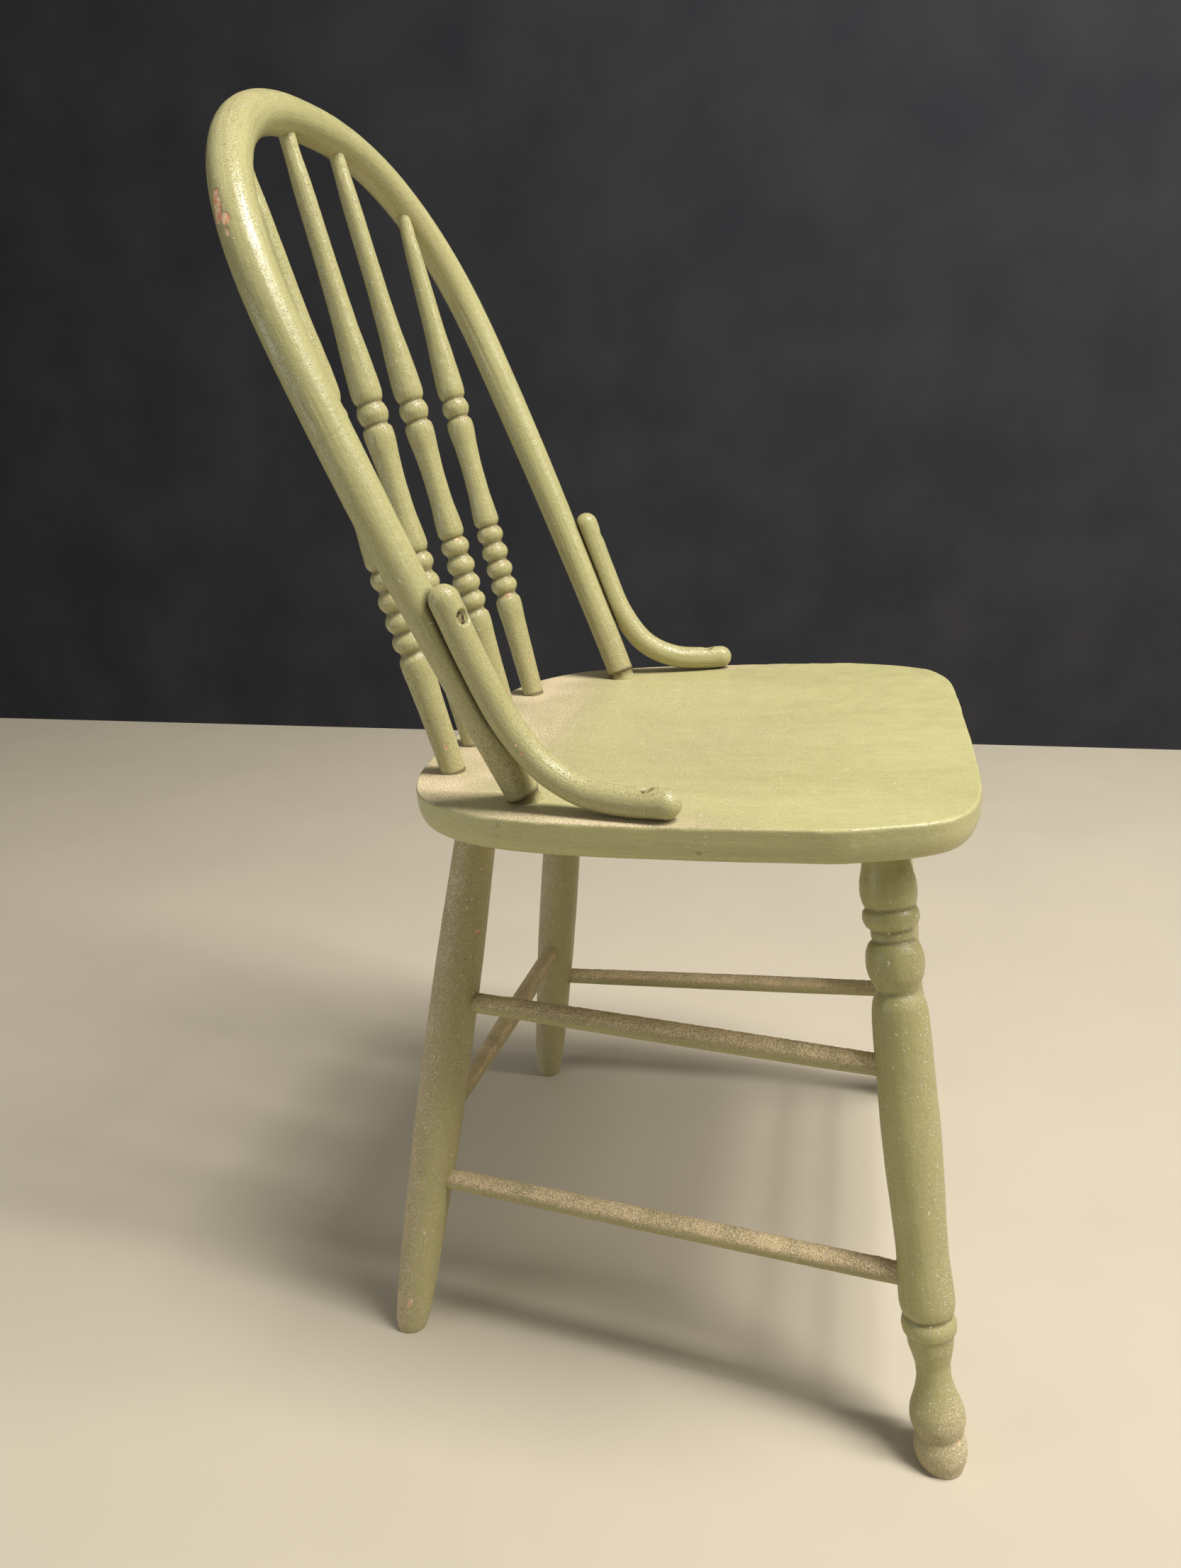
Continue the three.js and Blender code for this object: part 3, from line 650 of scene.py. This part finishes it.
def painted_wood(name, light, dark, roughness, dust_light, dust_dark, specks, film=0.42, cracks=0.0):
    """Old brushed paint over wood, with wear, chips, dust and lint."""
    n = Nodes(name)
    grain, dust, relief_and_shade = (n.attribute(key) for key in ("grain", "dust", "relief_and_shade"))
    streaks = n.noise(n.stretch(grain, (1.0, 1.0, 0.035)), 620, 4, 0.6)
    nibs = n.noise(grain, 900, 3, 0.55)
    crack = hairlines(n, grain, cracks)
    fibres = lint(n, grain, dust, nibs, specks)
    colour = brushed_tone(n, grain, relief_and_shade, streaks, light, dark)
    colour = n.mix(n.math("MULTIPLY", crack, 0.65), colour, OPEN_GRAIN)
    colour, bare = chipped(n, grain, nibs, colour)
    colour, cover, grains = dusted(n, grain, dust, film, colour, dust_light, dust_dark)
    colour = n.mix(n.math("MULTIPLY", fibres, 0.85), colour, LINT)

    rough = n.between(n.noise(grain, 60, 3), 0.3, 0.7, roughness - 0.05, roughness + 0.08)
    rough = n.math("ADD", rough, n.math("MULTIPLY", cover, 0.6), clamp=True)
    rough = n.math("MAXIMUM", rough, n.math("MULTIPLY", bare, 0.8))

    normal = n.bump(streaks, 0.26 * MM)
    normal = n.bump(nibs, 0.13 * MM, normal)
    normal = n.bump(n.noise(grain, 210, 3, 0.6), 0.32 * MM, normal)
    normal = n.bump(n.math("SUBTRACT", 1.0, crack), 0.3 * MM, normal)
    normal = n.bump(n.math("ADD", grains, fibres), 0.35 * MM, normal)
    normal = n.bump(n.math("SUBTRACT", 1.0, bare), 0.25 * MM, normal)
    shader = n.add("BsdfPrincipled", {"Base Color": colour, "Roughness": rough, "Normal": normal})
    shader.inputs["IOR"].default_value = 1.5
    n.add("OutputMaterial", {"Surface": shader.outputs[0]})
    return n.material


def seat_paint():
    """Satin, the palest, under pinkish dust."""
    light, dark = srgb(189, 182, 129), srgb(181, 175, 122)
    return painted_wood("seat_paint", light, dark, 0.3, PINK, SAND, specks=0.4, film=0.3)


def back_paint():
    """Glossier, with the wood's open grain showing through, and little dust."""
    light, dark = srgb(184, 178, 127), srgb(172, 167, 116)
    return painted_wood("back_paint", light, dark, 0.25, TAN, BROWN, specks=0.16, cracks=0.3)


def leg_paint():
    """A darker olive, with a lot of lint."""
    light, dark = srgb(180, 173, 117), srgb(165, 158, 104)
    return painted_wood("leg_paint", light, dark, 0.31, PINK, SAND, specks=0.95, film=0.22)


def stretcher_paint():
    """Duller and uneven, under thick tan dust."""
    light, dark = srgb(178, 170, 118), srgb(160, 152, 105)
    return painted_wood("stretcher_paint", light, dark, 0.45, WHEAT, BROWN, specks=0.7)


def old_steel():
    """Screw heads: dark steel with rust and old paint left on them."""
    n = Nodes("old_steel")
    grain = n.attribute("grain")
    rust = n.between(n.noise(grain, 900, 4, 0.6), 0.42, 0.6)
    colour = n.mix(rust, STEEL, RUST)
    paint = n.between(n.noise(grain, 520, 2), 0.5, 0.58)
    colour = n.mix(paint, colour, PAINT_REMAINS)
    metal = n.math("SUBTRACT", 0.9, n.math("MAXIMUM", rust, paint), clamp=True)
    rough = n.between(rust, 0, 1, 0.45, 0.85)
    normal = n.bump(n.noise(grain, 1600, 3), 0.15 * MM)
    inputs = {"Base Color": colour, "Roughness": rough, "Metallic": metal, "Normal": normal}
    shader = n.add("BsdfPrincipled", inputs)
    n.add("OutputMaterial", {"Surface": shader.outputs[0]})
    return n.material


def studio_sheet(name, colour):
    """A plain matt sheet with a barely mottled surface."""
    n = Nodes(name)
    spot = n.add("TexCoord").outputs["Object"]
    mottle = n.between(n.noise(spot, 5.0, 4, 0.55), 0.3, 0.7, 0.0, 0.06)
    tone = n.mix(mottle, colour, srgb(120, 116, 108))
    shader = n.add("BsdfPrincipled", {"Base Color": tone, "Roughness": 0.8})
    n.add("OutputMaterial", {"Surface": shader.outputs[0]})
    return n.material


FINISHES = {
    "seat_paint": seat_paint(),
    "back_paint": back_paint(),
    "leg_paint": leg_paint(),
    "stretcher_paint": stretcher_paint(),
    "screw_steel": old_steel(),
}


# ---- Seat ----
def seat_outline(angle):
    """The rim's outermost line, in the seat frame."""
    cosine, sine = np.cos(angle), np.sin(angle)
    rear = sine >= 0
    power = 2 / np.where(rear, SEAT["rear_squareness"], SEAT["front_squareness"])
    reach = np.sign(sine) * np.abs(sine) ** power
    width = np.sign(cosine) * np.abs(cosine) ** power * SEAT["half_width"]
    narrow = np.where(rear, 1, 1 + SEAT["front_narrowing"] * reach)
    depth = np.where(rear, SEAT["rear_reach"], SEAT["front_reach"])
    return np.stack([width * narrow, SEAT["widest_at"] + reach * depth], axis=-1)


def even_outline(count):
    """The outline with its points evenly spaced."""
    fine = np.linspace(0, 2 * np.pi, 8001)
    gone = distances(seat_outline(fine))
    return seat_outline(np.interp(np.linspace(0, gone[-1], count, endpoint=False), gone, fine))


def seat_sections():
    """Shares of the outline and heights from the underside's middle, round the rim, to the top's middle."""
    under = [(share, -SEAT_THICKNESS) for share in np.linspace(0.02, 0.88, 30)]
    shares, heights = (np.array(column, float) for column in zip(*SEAT_RIM))
    line = np.column_stack([shares * SEAT["half_width"], heights * MM, np.zeros(len(shares))])
    rim = [(x / SEAT["half_width"], z) for x, z, _ in spaced(curve_through(line, 12), STEP["rim"])]
    top = [(share, -seat_dish(share)) for share in np.linspace(0.972, 0.01, 110)]
    return under + rim + top


def seat_dish(share):
    return SEAT["dish"] * smoothstep(SEAT["dish_edge"] - share, 0, SEAT["dish_edge"])


def wear_rim(surface, shares, heights):
    """An uneven rim with a worn top corner. Gives how much of the corner is at each point."""
    rim = smoothstep(shares, 0.95, 0.985)
    surface.push(rim * 0.35 * MM * lumps(surface.grain, 26 * MM, 21) - 0.3 * MM)
    corner = smoothstep(shares, 0.985, 0.996) * np.exp(-(((heights + 0.6 * MM) / (1.3 * MM)) ** 2))
    surface.push(-corner * 0.45 * MM * np.clip(lumps(surface.grain, 7 * MM, 22) * 2 - 0.5, 0, 1))
    return corner


def dust_seat(surface, shares, top):
    across, back = surface.rings[..., 0], surface.rings[..., 1]
    deck = smoothstep(back, *SEAT_DUST["deck"])
    margin = smoothstep(shares, *SEAT_DUST["margin"]) * smoothstep(back, *SEAT_DUST["margin_back"])
    (at_x, at_y), (reach_x, reach_y) = SEAT_DUST["sprinkle_at"], SEAT_DUST["sprinkle_reach"]
    sprinkled = np.exp(-(((across - at_x) / reach_x) ** 2) - ((back - at_y) / reach_y) ** 2)
    film = SEAT_DUST["film"] * (1 + smoothstep(back, *SEAT_DUST["film_back"]))
    thick = SEAT_DUST["thick"] * np.maximum(deck, SEAT_DUST["margin_share"] * margin)
    patchy = 0.8 + 0.2 * lumps(surface.grain, 22 * MM, 24)
    surface.dust = top * np.clip(film + SEAT_DUST["sprinkle"] * sprinkled + thick, 0, 1) * patchy


def scuff_seat(surface, side):
    """A rubbed place on the right edge."""
    across, back = surface.rings[..., 0], surface.rings[..., 1]
    scuff = np.exp(-(((back - SEAT_SCUFF["back"]) / SEAT_SCUFF["half"]) ** 2)) * (across < 0) * side
    broken = 0.7 + 0.6 * lumps(surface.grain, 3 * MM, 25)
    surface.chip = np.maximum(surface.chip, scuff * SEAT_SCUFF["chip"] * broken)


def make_seat():
    outline = even_outline(SIDES["seat"])
    middle = np.array([0, SEAT["middle"]])
    sections = seat_sections()
    rings = np.array([[*(middle + share * (p - middle)), z] for share, z in sections for p in outline])
    rings = rings.reshape(len(sections), len(outline), 3)
    surface = Surface(rings, rings[..., [0, 2, 1]].copy(), SEAT_FRAME, seed=11)
    shares, heights = (np.array(column, float)[:, None] for column in zip(*sections))
    corner = wear_rim(surface, shares, heights)
    surface.brush(*BRUSH["seat"])
    surface.relief_and_shade = corner * (0.6 + 0.4 * lumps(surface.grain, 9 * MM, 23))
    top = smoothstep(surface.world_normals()[..., 2], 0.3, 0.9)
    dust_seat(surface, shares, top)
    scuff_seat(surface, 1 - top)
    surface.stain(**SEAT_STAIN)
    place(surface, "seat_plank", "seat", "seat_paint")


# ---- Hoop ----
def brace_line(side):
    flip = np.array([SIGN[side], 1, 1]) * MM
    return spaced(curve_through(np.array(BRACE_LINE + [BRACE_FRONT[side]]) * flip), STEP["brace"])


def hoop_point(t):
    """A point of the hoop's centre line in its own plane: t runs from the right foot to the left one."""
    side = np.where(t < 0.5, -1, 1)
    from_top = np.abs(2 * t - 1)
    up = np.clip((1 - from_top) / (1 - HOOP["arch_share"]), 0, 1)
    rise = HOOP["shoulder_rise"] + up * (HOOP["side_rise"] - HOOP["shoulder_rise"])
    bow = 1 - (1 - rise / HOOP["side_rise"]) ** HOOP["side_bow"]
    x = HOOP["base_x"] + (HOOP["half_width"] - HOOP["base_x"]) * bow
    angle = (1 - np.clip(from_top / HOOP["arch_share"], 0, 1)) * np.pi / 2
    power = 2 / HOOP["arch_squareness"]
    arch_x = HOOP["half_width"] * np.cos(angle) ** power
    arch_rise = HOOP["side_rise"] + (HOOP["rise"] - HOOP["side_rise"]) * np.sin(angle) ** power
    arch = from_top <= HOOP["arch_share"]
    return side * np.where(arch, arch_x, x), np.where(arch, arch_rise, rise)


def hoop_line():
    x, rise = hoop_point(np.linspace(0, 1, 3001))
    y = HOOP["base_y"] + rise * math.sin(HOOP["rake"])
    return spaced(np.stack([x, y, rise * math.cos(HOOP["rake"])], axis=1), STEP["hoop"])


def hoop_radius(z):
    share = smoothstep(z / math.cos(HOOP["rake"]), 0, HOOP["taper_rise"])
    return HOOP["foot_radius"] + (HOOP["radius"] - HOOP["foot_radius"]) * share


HOOP_LINE = hoop_line()


def hoop_surface():
    """The bent stock with a square shoulder and a thinner tenon at each foot."""
    start = unit(HOOP_LINE[0] - HOOP_LINE[1])
    end = unit(HOOP_LINE[-1] - HOOP_LINE[-2])
    reach = HOOP["tenon_depth"] + HOOP["shoulder_rise"]
    steps = np.array([reach, reach * 0.66, reach * 0.33, 0.45 * MM, 0.4 * MM, 0.15 * MM])[:, None]
    tenon = [HOOP["tenon_radius"]] * 4 + [HOOP["foot_radius"] - 0.5 * MM, HOOP["foot_radius"] - 0.15 * MM]
    line = np.vstack([HOOP_LINE[0] + start * steps, HOOP_LINE, HOOP_LINE[-1] + end * steps[::-1]])
    radii = np.concatenate([tenon, hoop_radius(HOOP_LINE[:, 2]), tenon[::-1]])
    surface = tube(line, radii, SIDES["hoop"], SEAT_FRAME, seed=31, side=(-1, 0, 0))
    surface.brush(*BRUSH["hoop"])
    for shoulder in (reach, surface.grain[-1, 0, 2] - reach):
        surface.soil(shoulder, 1.6 * MM)
    return surface


def open_grain(surface):
    """Grooves along the grain on the hoop's left side."""
    far = smoothstep(surface.grain[..., 2], *HOOP_GRAIN)
    grooves = np.clip(lumps(surface.grain, (1.9 * MM, 1.9 * MM, 60 * MM), 32) - 0.3, 0, 1) * far
    surface.push(-0.45 * MM * grooves)
    surface.relief_and_shade -= 0.7 * grooves


def scarf_joints(surface):
    """The hoop's hairline joints, which slant a little and are partly filled with paint."""
    lean = surface.grain[..., 1] * 0.12
    broken = np.clip(0.45 + lumps(surface.grain, 7 * MM, 33), 0, 1)
    for at in SCARFS:
        crack = np.exp(-(((surface.grain[..., 2] - at - lean) / (0.55 * MM)) ** 2))
        surface.push(-0.2 * MM * crack)
        surface.relief_and_shade -= 1.1 * crack * broken


def make_hoop():
    surface = hoop_surface()
    open_grain(surface)
    scarf_joints(surface)
    # Painted shade on the hoop where each brace comes close to it.
    for side in SIGN:
        line = brace_line(side)[::4]
        surface.shade_beside(line, np.full(len(line), BRACE_RADIUS), 6 * MM)
    surface.settle_dust(**DUST["hoop"])
    surface.gather_dust(surface.rings[..., 2], *LOW_DUST["hoop"])
    surface.knock(CHIPS["hoop"], CHIP_DEPTH["hoop"])
    place(surface, "hoop_stock", "hoop", "back_paint")


# ---- Braces and screws ----
def clear_of_hoop(surface, room):
    """Hollows the piece where it would run into the hoop, and paints shade on it where it comes close to the
    hoop.
    """
    line, radii = HOOP_LINE[::4], hoop_radius(HOOP_LINE[::4, 2])
    gap, nearest = gap_to(surface.rings, line, radii)
    centre = line[nearest]
    outside = centre + unit(surface.rings - centre) * (radii[nearest] + room)[..., None]
    surface.rings = np.where((gap < room)[..., None], outside, surface.rings)
    # Painted shade on the piece close to the hoop.
    surface.relief_and_shade -= TOUCH_SHADE * smoothstep(gap, 3.5 * MM, 0.5 * MM)


def ball_ended(line, radius):
    """The line and radii of a rod whose two ends are rounded into balls."""
    turn = np.linspace(0.06, np.pi / 2, 12, endpoint=False)
    head = unit(line[0] - line[1])
    tail = unit(line[-1] - line[-2])
    caps = radius * np.cos(turn)[:, None]
    whole = np.vstack([line[0] + head * caps, line, line[-1] + tail * caps[::-1]])
    round_off = radius * np.sin(turn)
    return whole, np.concatenate([round_off, np.full(len(line), radius), round_off[::-1]])


def sink_well(surface, head, way, depth):
    """Presses a screw's well into the surface, with a low raised lip of paint round it."""
    offset = surface.rings - head
    deep = offset @ way
    beside = np.linalg.norm(offset - deep[..., None] * way, axis=-1)
    outer_side = deep < BRACE_RADIUS * 0.6
    inside = smoothstep(beside, SCREW["well"] + 0.5 * MM, SCREW["well"] - 0.7 * MM) * outer_side
    target = np.maximum(deep, depth)
    surface.rings = surface.rings + (inside * (target - deep))[..., None] * way
    lip = np.exp(-(((beside - SCREW["well"] - 0.8 * MM) / (0.8 * MM)) ** 2)) * (deep < BRACE_RADIUS * 0.3)
    # The paint inside the well is drawn darker.
    surface.relief_and_shade = surface.relief_and_shade - 0.9 * inside + 0.2 * lip
    surface.chip = np.maximum(surface.chip, 0.42 * lip)


def brace_screws(line):
    """Each screw's head centre and direction in the seat frame: one into the hoop, one into the seat."""
    gone = distances(line)
    top = line[np.searchsorted(gone, SCREW["from_end"])]
    front = line[np.searchsorted(gone, gone[-1] - SCREW["from_end"])]
    behind = HOOP_LINE[((HOOP_LINE - top) ** 2).sum(axis=1).argmin()]
    ways = {"hoop": (top, unit(behind - top)), "seat": (front, np.array([0, 0, -1.0]))}
    return {key: (start + way * (SCREW["sink"] - BRACE_RADIUS), way) for key, (start, way) in ways.items()}


def make_brace(side, seed):
    line = brace_line(side)
    whole, radii = ball_ended(line, BRACE_RADIUS)
    surface = tube(whole, radii, SIDES["brace"], SEAT_FRAME, seed)
    surface.brush(*BRUSH["brace"])
    clear_of_hoop(surface, 0.1 * MM)
    surface.rings[..., 2] = np.maximum(surface.rings[..., 2], 0.15 * MM)
    surface.settle_dust(**DUST["brace"])
    screws = brace_screws(line)
    for head, way in screws.values():
        sink_well(surface, head, way, 0.3 * MM)
    surface.knock(CHIPS.get("brace_" + side, []), CHIP_DEPTH["brace"])
    place(surface, "brace_rod_" + side, "brace_" + side, "back_paint")
    for key, (head, way) in screws.items():
        make_screw(f"screw_{key}_{side}", head, way, seed)


def screw_profile():
    """Radius and depth in metres: the head's flat top, its cone, a ridged shank and the tip."""
    radius, shank, ridge, pitch, ridges = SCREW["radius"] / MM, 1.8, 0.2, 0.7, 28
    head = [(share * radius, 0) for share in np.linspace(0.04, 0.96, 14)]
    cone = [(radius, 0.25), (radius * 0.98, 0.6), (radius * 0.7, 1.9), (radius * 0.5, 3)]
    thread = [(shank + ridge * (i % 2), 3.4 + pitch * i) for i in range(ridges)]
    return np.array(head + cone + thread + [(1.2, 24), (0.5, 26.6)]) * MM


def make_screw(node, head, way, seed):
    """A slotted wood screw that points along way, with the top of its head at head."""
    start = SEAT_FRAME[:3, :3] @ head + SEAT_FRAME[:3, 3]
    matrix = along(start, start + SEAT_FRAME[:3, :3] @ way)
    points = screw_profile()
    line = np.column_stack([np.zeros((len(points), 2)), points[:, 1]])
    angle = np.arange(SIDES["screw"]) / SIDES["screw"] * 2 * np.pi
    circle = np.stack([np.cos(angle), np.sin(angle), np.zeros(len(angle))], axis=-1)
    rings = line[:, None] + points[:, :1, None] * circle
    slot = (np.abs(rings[..., 1]) < SCREW["slot"] / 2) & (rings[..., 2] < 0.3 * MM)
    rings[..., 2] += np.where(slot, SCREW["slot"], 0)
    surface = Surface(rings, rings + matrix[:3, 3] * 3, matrix, seed)
    place(surface, node + "_steel", node, "screw_steel")


# ---- Spindles ----
def spindle_profile(length):
    beads = []
    for centre in SPINDLE_BEADS:
        half, radius, groove = BEAD["half"], BEAD["radius"], BEAD["groove"]
        beads += [
            (groove, centre - half - 1.1),
            (radius - 2.1, centre - half * 0.86),
            (radius - 0.75, centre - half * 0.55),
            (radius, centre),
            (radius - 0.75, centre + half * 0.55),
            (radius - 2.1, centre + half * 0.86),
        ]
    top = [(radius, length / MM + at) for radius, at in SPINDLE_TOP]
    return SPINDLE_FOOT + beads + SPINDLE_VASE + top


def make_spindle(node, seed):
    low, high = rod_axis(node)
    matrix = along(low, high)
    matrix[:3, 3] = low + SPINDLE_TENON * matrix[:3, 2]
    length = np.linalg.norm(high - low) - SPINDLE_TENON
    surface = turned(spindle_profile(length), matrix, seed, SIDES["spindle"], STEP["rod"])
    surface.brush(*BRUSH["spindle"])
    # paint has run and thickened at the top
    thick = smoothstep(surface.grain[..., 2], length - 34 * MM, length - 6 * MM)
    surface.push(thick * (0.12 + 0.28 * lumps(surface.grain, 4.5 * MM, seed + 8)) * MM)
    surface.settle_dust(**DUST["spindle"])
    surface.gather_dust(surface.grain[..., 2], *LOW_DUST["spindle"])
    surface.soil(0, 1.6 * MM)
    surface.knock(CHIPS.get(node, []), CHIP_DEPTH["spindle"])
    place(surface, node + "_turning", node, "back_paint")


# ---- Legs ----
def make_leg(node, profile, seed):
    foot, top = leg_axis(node)
    length = np.linalg.norm(top - foot)
    hidden_end = (profile[-1][0], (length - LEG_TENON / 2) / MM)
    surface = turned(profile[:-1] + [hidden_end], along(foot, top), seed, SIDES["leg"], STEP["leg"])
    surface.brush(*BRUSH["leg"])
    kind = "rear_leg" if node.startswith("rear") else "front_leg"
    surface.settle_dust(**DUST[kind])
    if kind == "front_leg":
        surface.dust *= smoothstep(surface.grain[..., 2], length, length - FRONT_LEG_DUST_REACH)
    surface.gather_dust(surface.grain[..., 2], *LOW_DUST[kind])
    surface.soil(length - LEG_TENON, 2 * MM)
    surface.knock(CHIPS.get(node, []), CHIP_DEPTH["leg"])
    trim_at_floor(surface)
    place(surface, node + "_turning", node, "leg_paint")


# ---- Stretchers ----
def stretcher_profile(node, length):
    if node == "rear_stretcher":
        return [(5.6, 0), (6, 30), (8.2, length * 0.6), (8, length - 30), (7, length)]
    return [(6.8, 0), (7.2, 18), (7.7, length * 0.6), (7.2, length - 18), (6.8, length)]


def make_stretcher(node, seed):
    low, high = rod_axis(node)
    start, end = stretcher_way(node, low, high)
    length = np.linalg.norm(end - start) / MM
    profile = stretcher_profile(node, length)
    surface = turned(profile, along(start, end), seed, SIDES["stretcher"], STEP["rod"])
    surface.brush(*BRUSH["stretcher"])
    surface.settle_dust(**DUST["stretcher"])
    surface.fluff(0.5 * MM)
    place(surface, node + "_rod", node, "stretcher_paint")


def stretcher_way(node, low, high):
    """A side stretcher starts at the rear leg, and a cross one at the right."""
    axis = 1 if node.startswith("side") else 0
    ends = sorted([low, high], key=lambda p: p[axis])
    return ends[::-1] if axis == 1 else ends


# ---- Stage, light and camera ----
def studio_shape(name, profile, material):
    """A sheet swept round the chair on a box-like path, from (share of the room's reach, height) points."""
    sides, squareness = 200, 12
    turn = np.arange(sides) / sides * 2 * np.pi
    cosine, sine = np.cos(turn), np.sin(turn)
    x = ROOM["reach_x"] * np.sign(cosine) * np.abs(cosine) ** (2 / squareness)
    y = ROOM["reach_y"] * np.sign(sine) * np.abs(sine) ** (2 / squareness)
    points = [(share * px, share * py, z) for share, z in profile for px, py in zip(x, y)]
    faces = [
        (i * sides + k, (i + 1) * sides + k, (i + 1) * sides + (k + 1) % sides, i * sides + (k + 1) % sides)
        for i in range(len(profile) - 1)
        for k in range(sides)
    ]
    faces.append(tuple(range(sides)))
    mesh = bpy.data.meshes.new(name)
    mesh.from_pydata(points, [], faces)
    mesh.materials.append(material)
    sheet = bpy.data.objects.new(name, mesh)
    bpy.context.scene.collection.objects.link(sheet)
    return sheet


def make_stage():
    """A plain pale floor, and a plain dark backdrop all round that lets the studio's light through."""
    studio_shape("floor", [(0.3, 0), (1, 0)], studio_sheet("floor_paint", srgb(192, 181, 160)))
    paper = studio_sheet("backdrop_paper", srgb(28, 29, 36))
    backdrop = studio_shape("backdrop", [(1, -0.01), (1, ROOM["height"])], paper)
    backdrop.visible_shadow = backdrop.visible_diffuse = False


def add_light(name, place_at, target, size, power, colour):
    data = bpy.data.lights.new(name, "AREA")
    data.shape = "RECTANGLE"
    data.size, data.size_y = size
    data.energy = power
    data.color = colour
    light = bpy.data.objects.new(name, data)
    light.location = place_at
    light.rotation_mode = "QUATERNION"
    light.rotation_quaternion = (Vector(target) - Vector(place_at)).to_track_quat("-Z", "Y")
    light.visible_camera = False
    bpy.context.scene.collection.objects.link(light)


def make_lights():
    middle = (cad_low + cad_high) / 2
    add_light("key", (-0.15, -0.8, 2.5), middle, (0.6, 0.7), 48, (1.0, 0.98, 0.94))
    add_light("strip", (-0.75, -3.4, 3.6), (-0.75, -3.4, 0), (0.5, 4.0), 205, (1.0, 0.99, 0.97))
    add_light("fill", (-0.9, 1.2, 0.55), (-0.2, 0.2, 0.25), (0.7, 0.4), 3.2, (0.9, 0.96, 1.0))
    world = bpy.data.worlds.new("soft_sky")
    world.use_nodes = True
    background = world.node_tree.nodes["Background"]
    background.inputs["Color"].default_value = (1.0, 0.99, 0.96, 1)
    background.inputs["Strength"].default_value = 0.25
    bpy.context.scene.world = world
    bpy.context.scene.view_settings.view_transform = "Standard"


def make_camera():
    yaw, pitch, roll = (math.radians(CAMERA[key]) for key in ("yaw", "pitch", "roll"))
    ahead = np.array([math.cos(pitch) * math.cos(yaw), math.cos(pitch) * math.sin(yaw), -math.sin(pitch)])
    level = np.array([math.sin(yaw), -math.cos(yaw), 0])
    upright = np.cross(level, ahead)
    right = math.cos(roll) * level + math.sin(roll) * upright
    up = -math.sin(roll) * level + math.cos(roll) * upright
    matrix = np.eye(4)
    matrix[:3] = np.column_stack([right, up, -ahead, CAMERA["place"]])
    data = bpy.data.cameras.new("camera")
    data.lens = CAMERA["lens"]
    camera = bpy.data.objects.new("camera", data)
    camera.matrix_world = Matrix(matrix.tolist())
    bpy.context.scene.collection.objects.link(camera)
    bpy.context.scene.camera = camera


# ---- The chair ----
make_camera()
make_seat()
make_hoop()
for number, side in enumerate(SIGN):
    make_brace(side, 41 + 10 * number)
    make_spindle("spindle_outer_" + side, 61 + 10 * number)
    make_spindle("spindle_inner_" + side, 81 + 10 * number)
    make_leg("front_leg_" + side, FRONT_LEG_PROFILE, 101 + 10 * number)
    make_leg("rear_leg_" + side, REAR_LEG_PROFILE, 121 + 10 * number)
    make_stretcher("side_stretcher_upper_" + side, 141 + 10 * number)
    make_stretcher("side_stretcher_lower_" + side, 161 + 10 * number)
for number, node in enumerate(["rear_stretcher", "front_stretcher_upper", "front_stretcher_lower"]):
    make_stretcher(node, 181 + 10 * number)
make_stage()
make_lights()

bpy.context.view_layer.update()
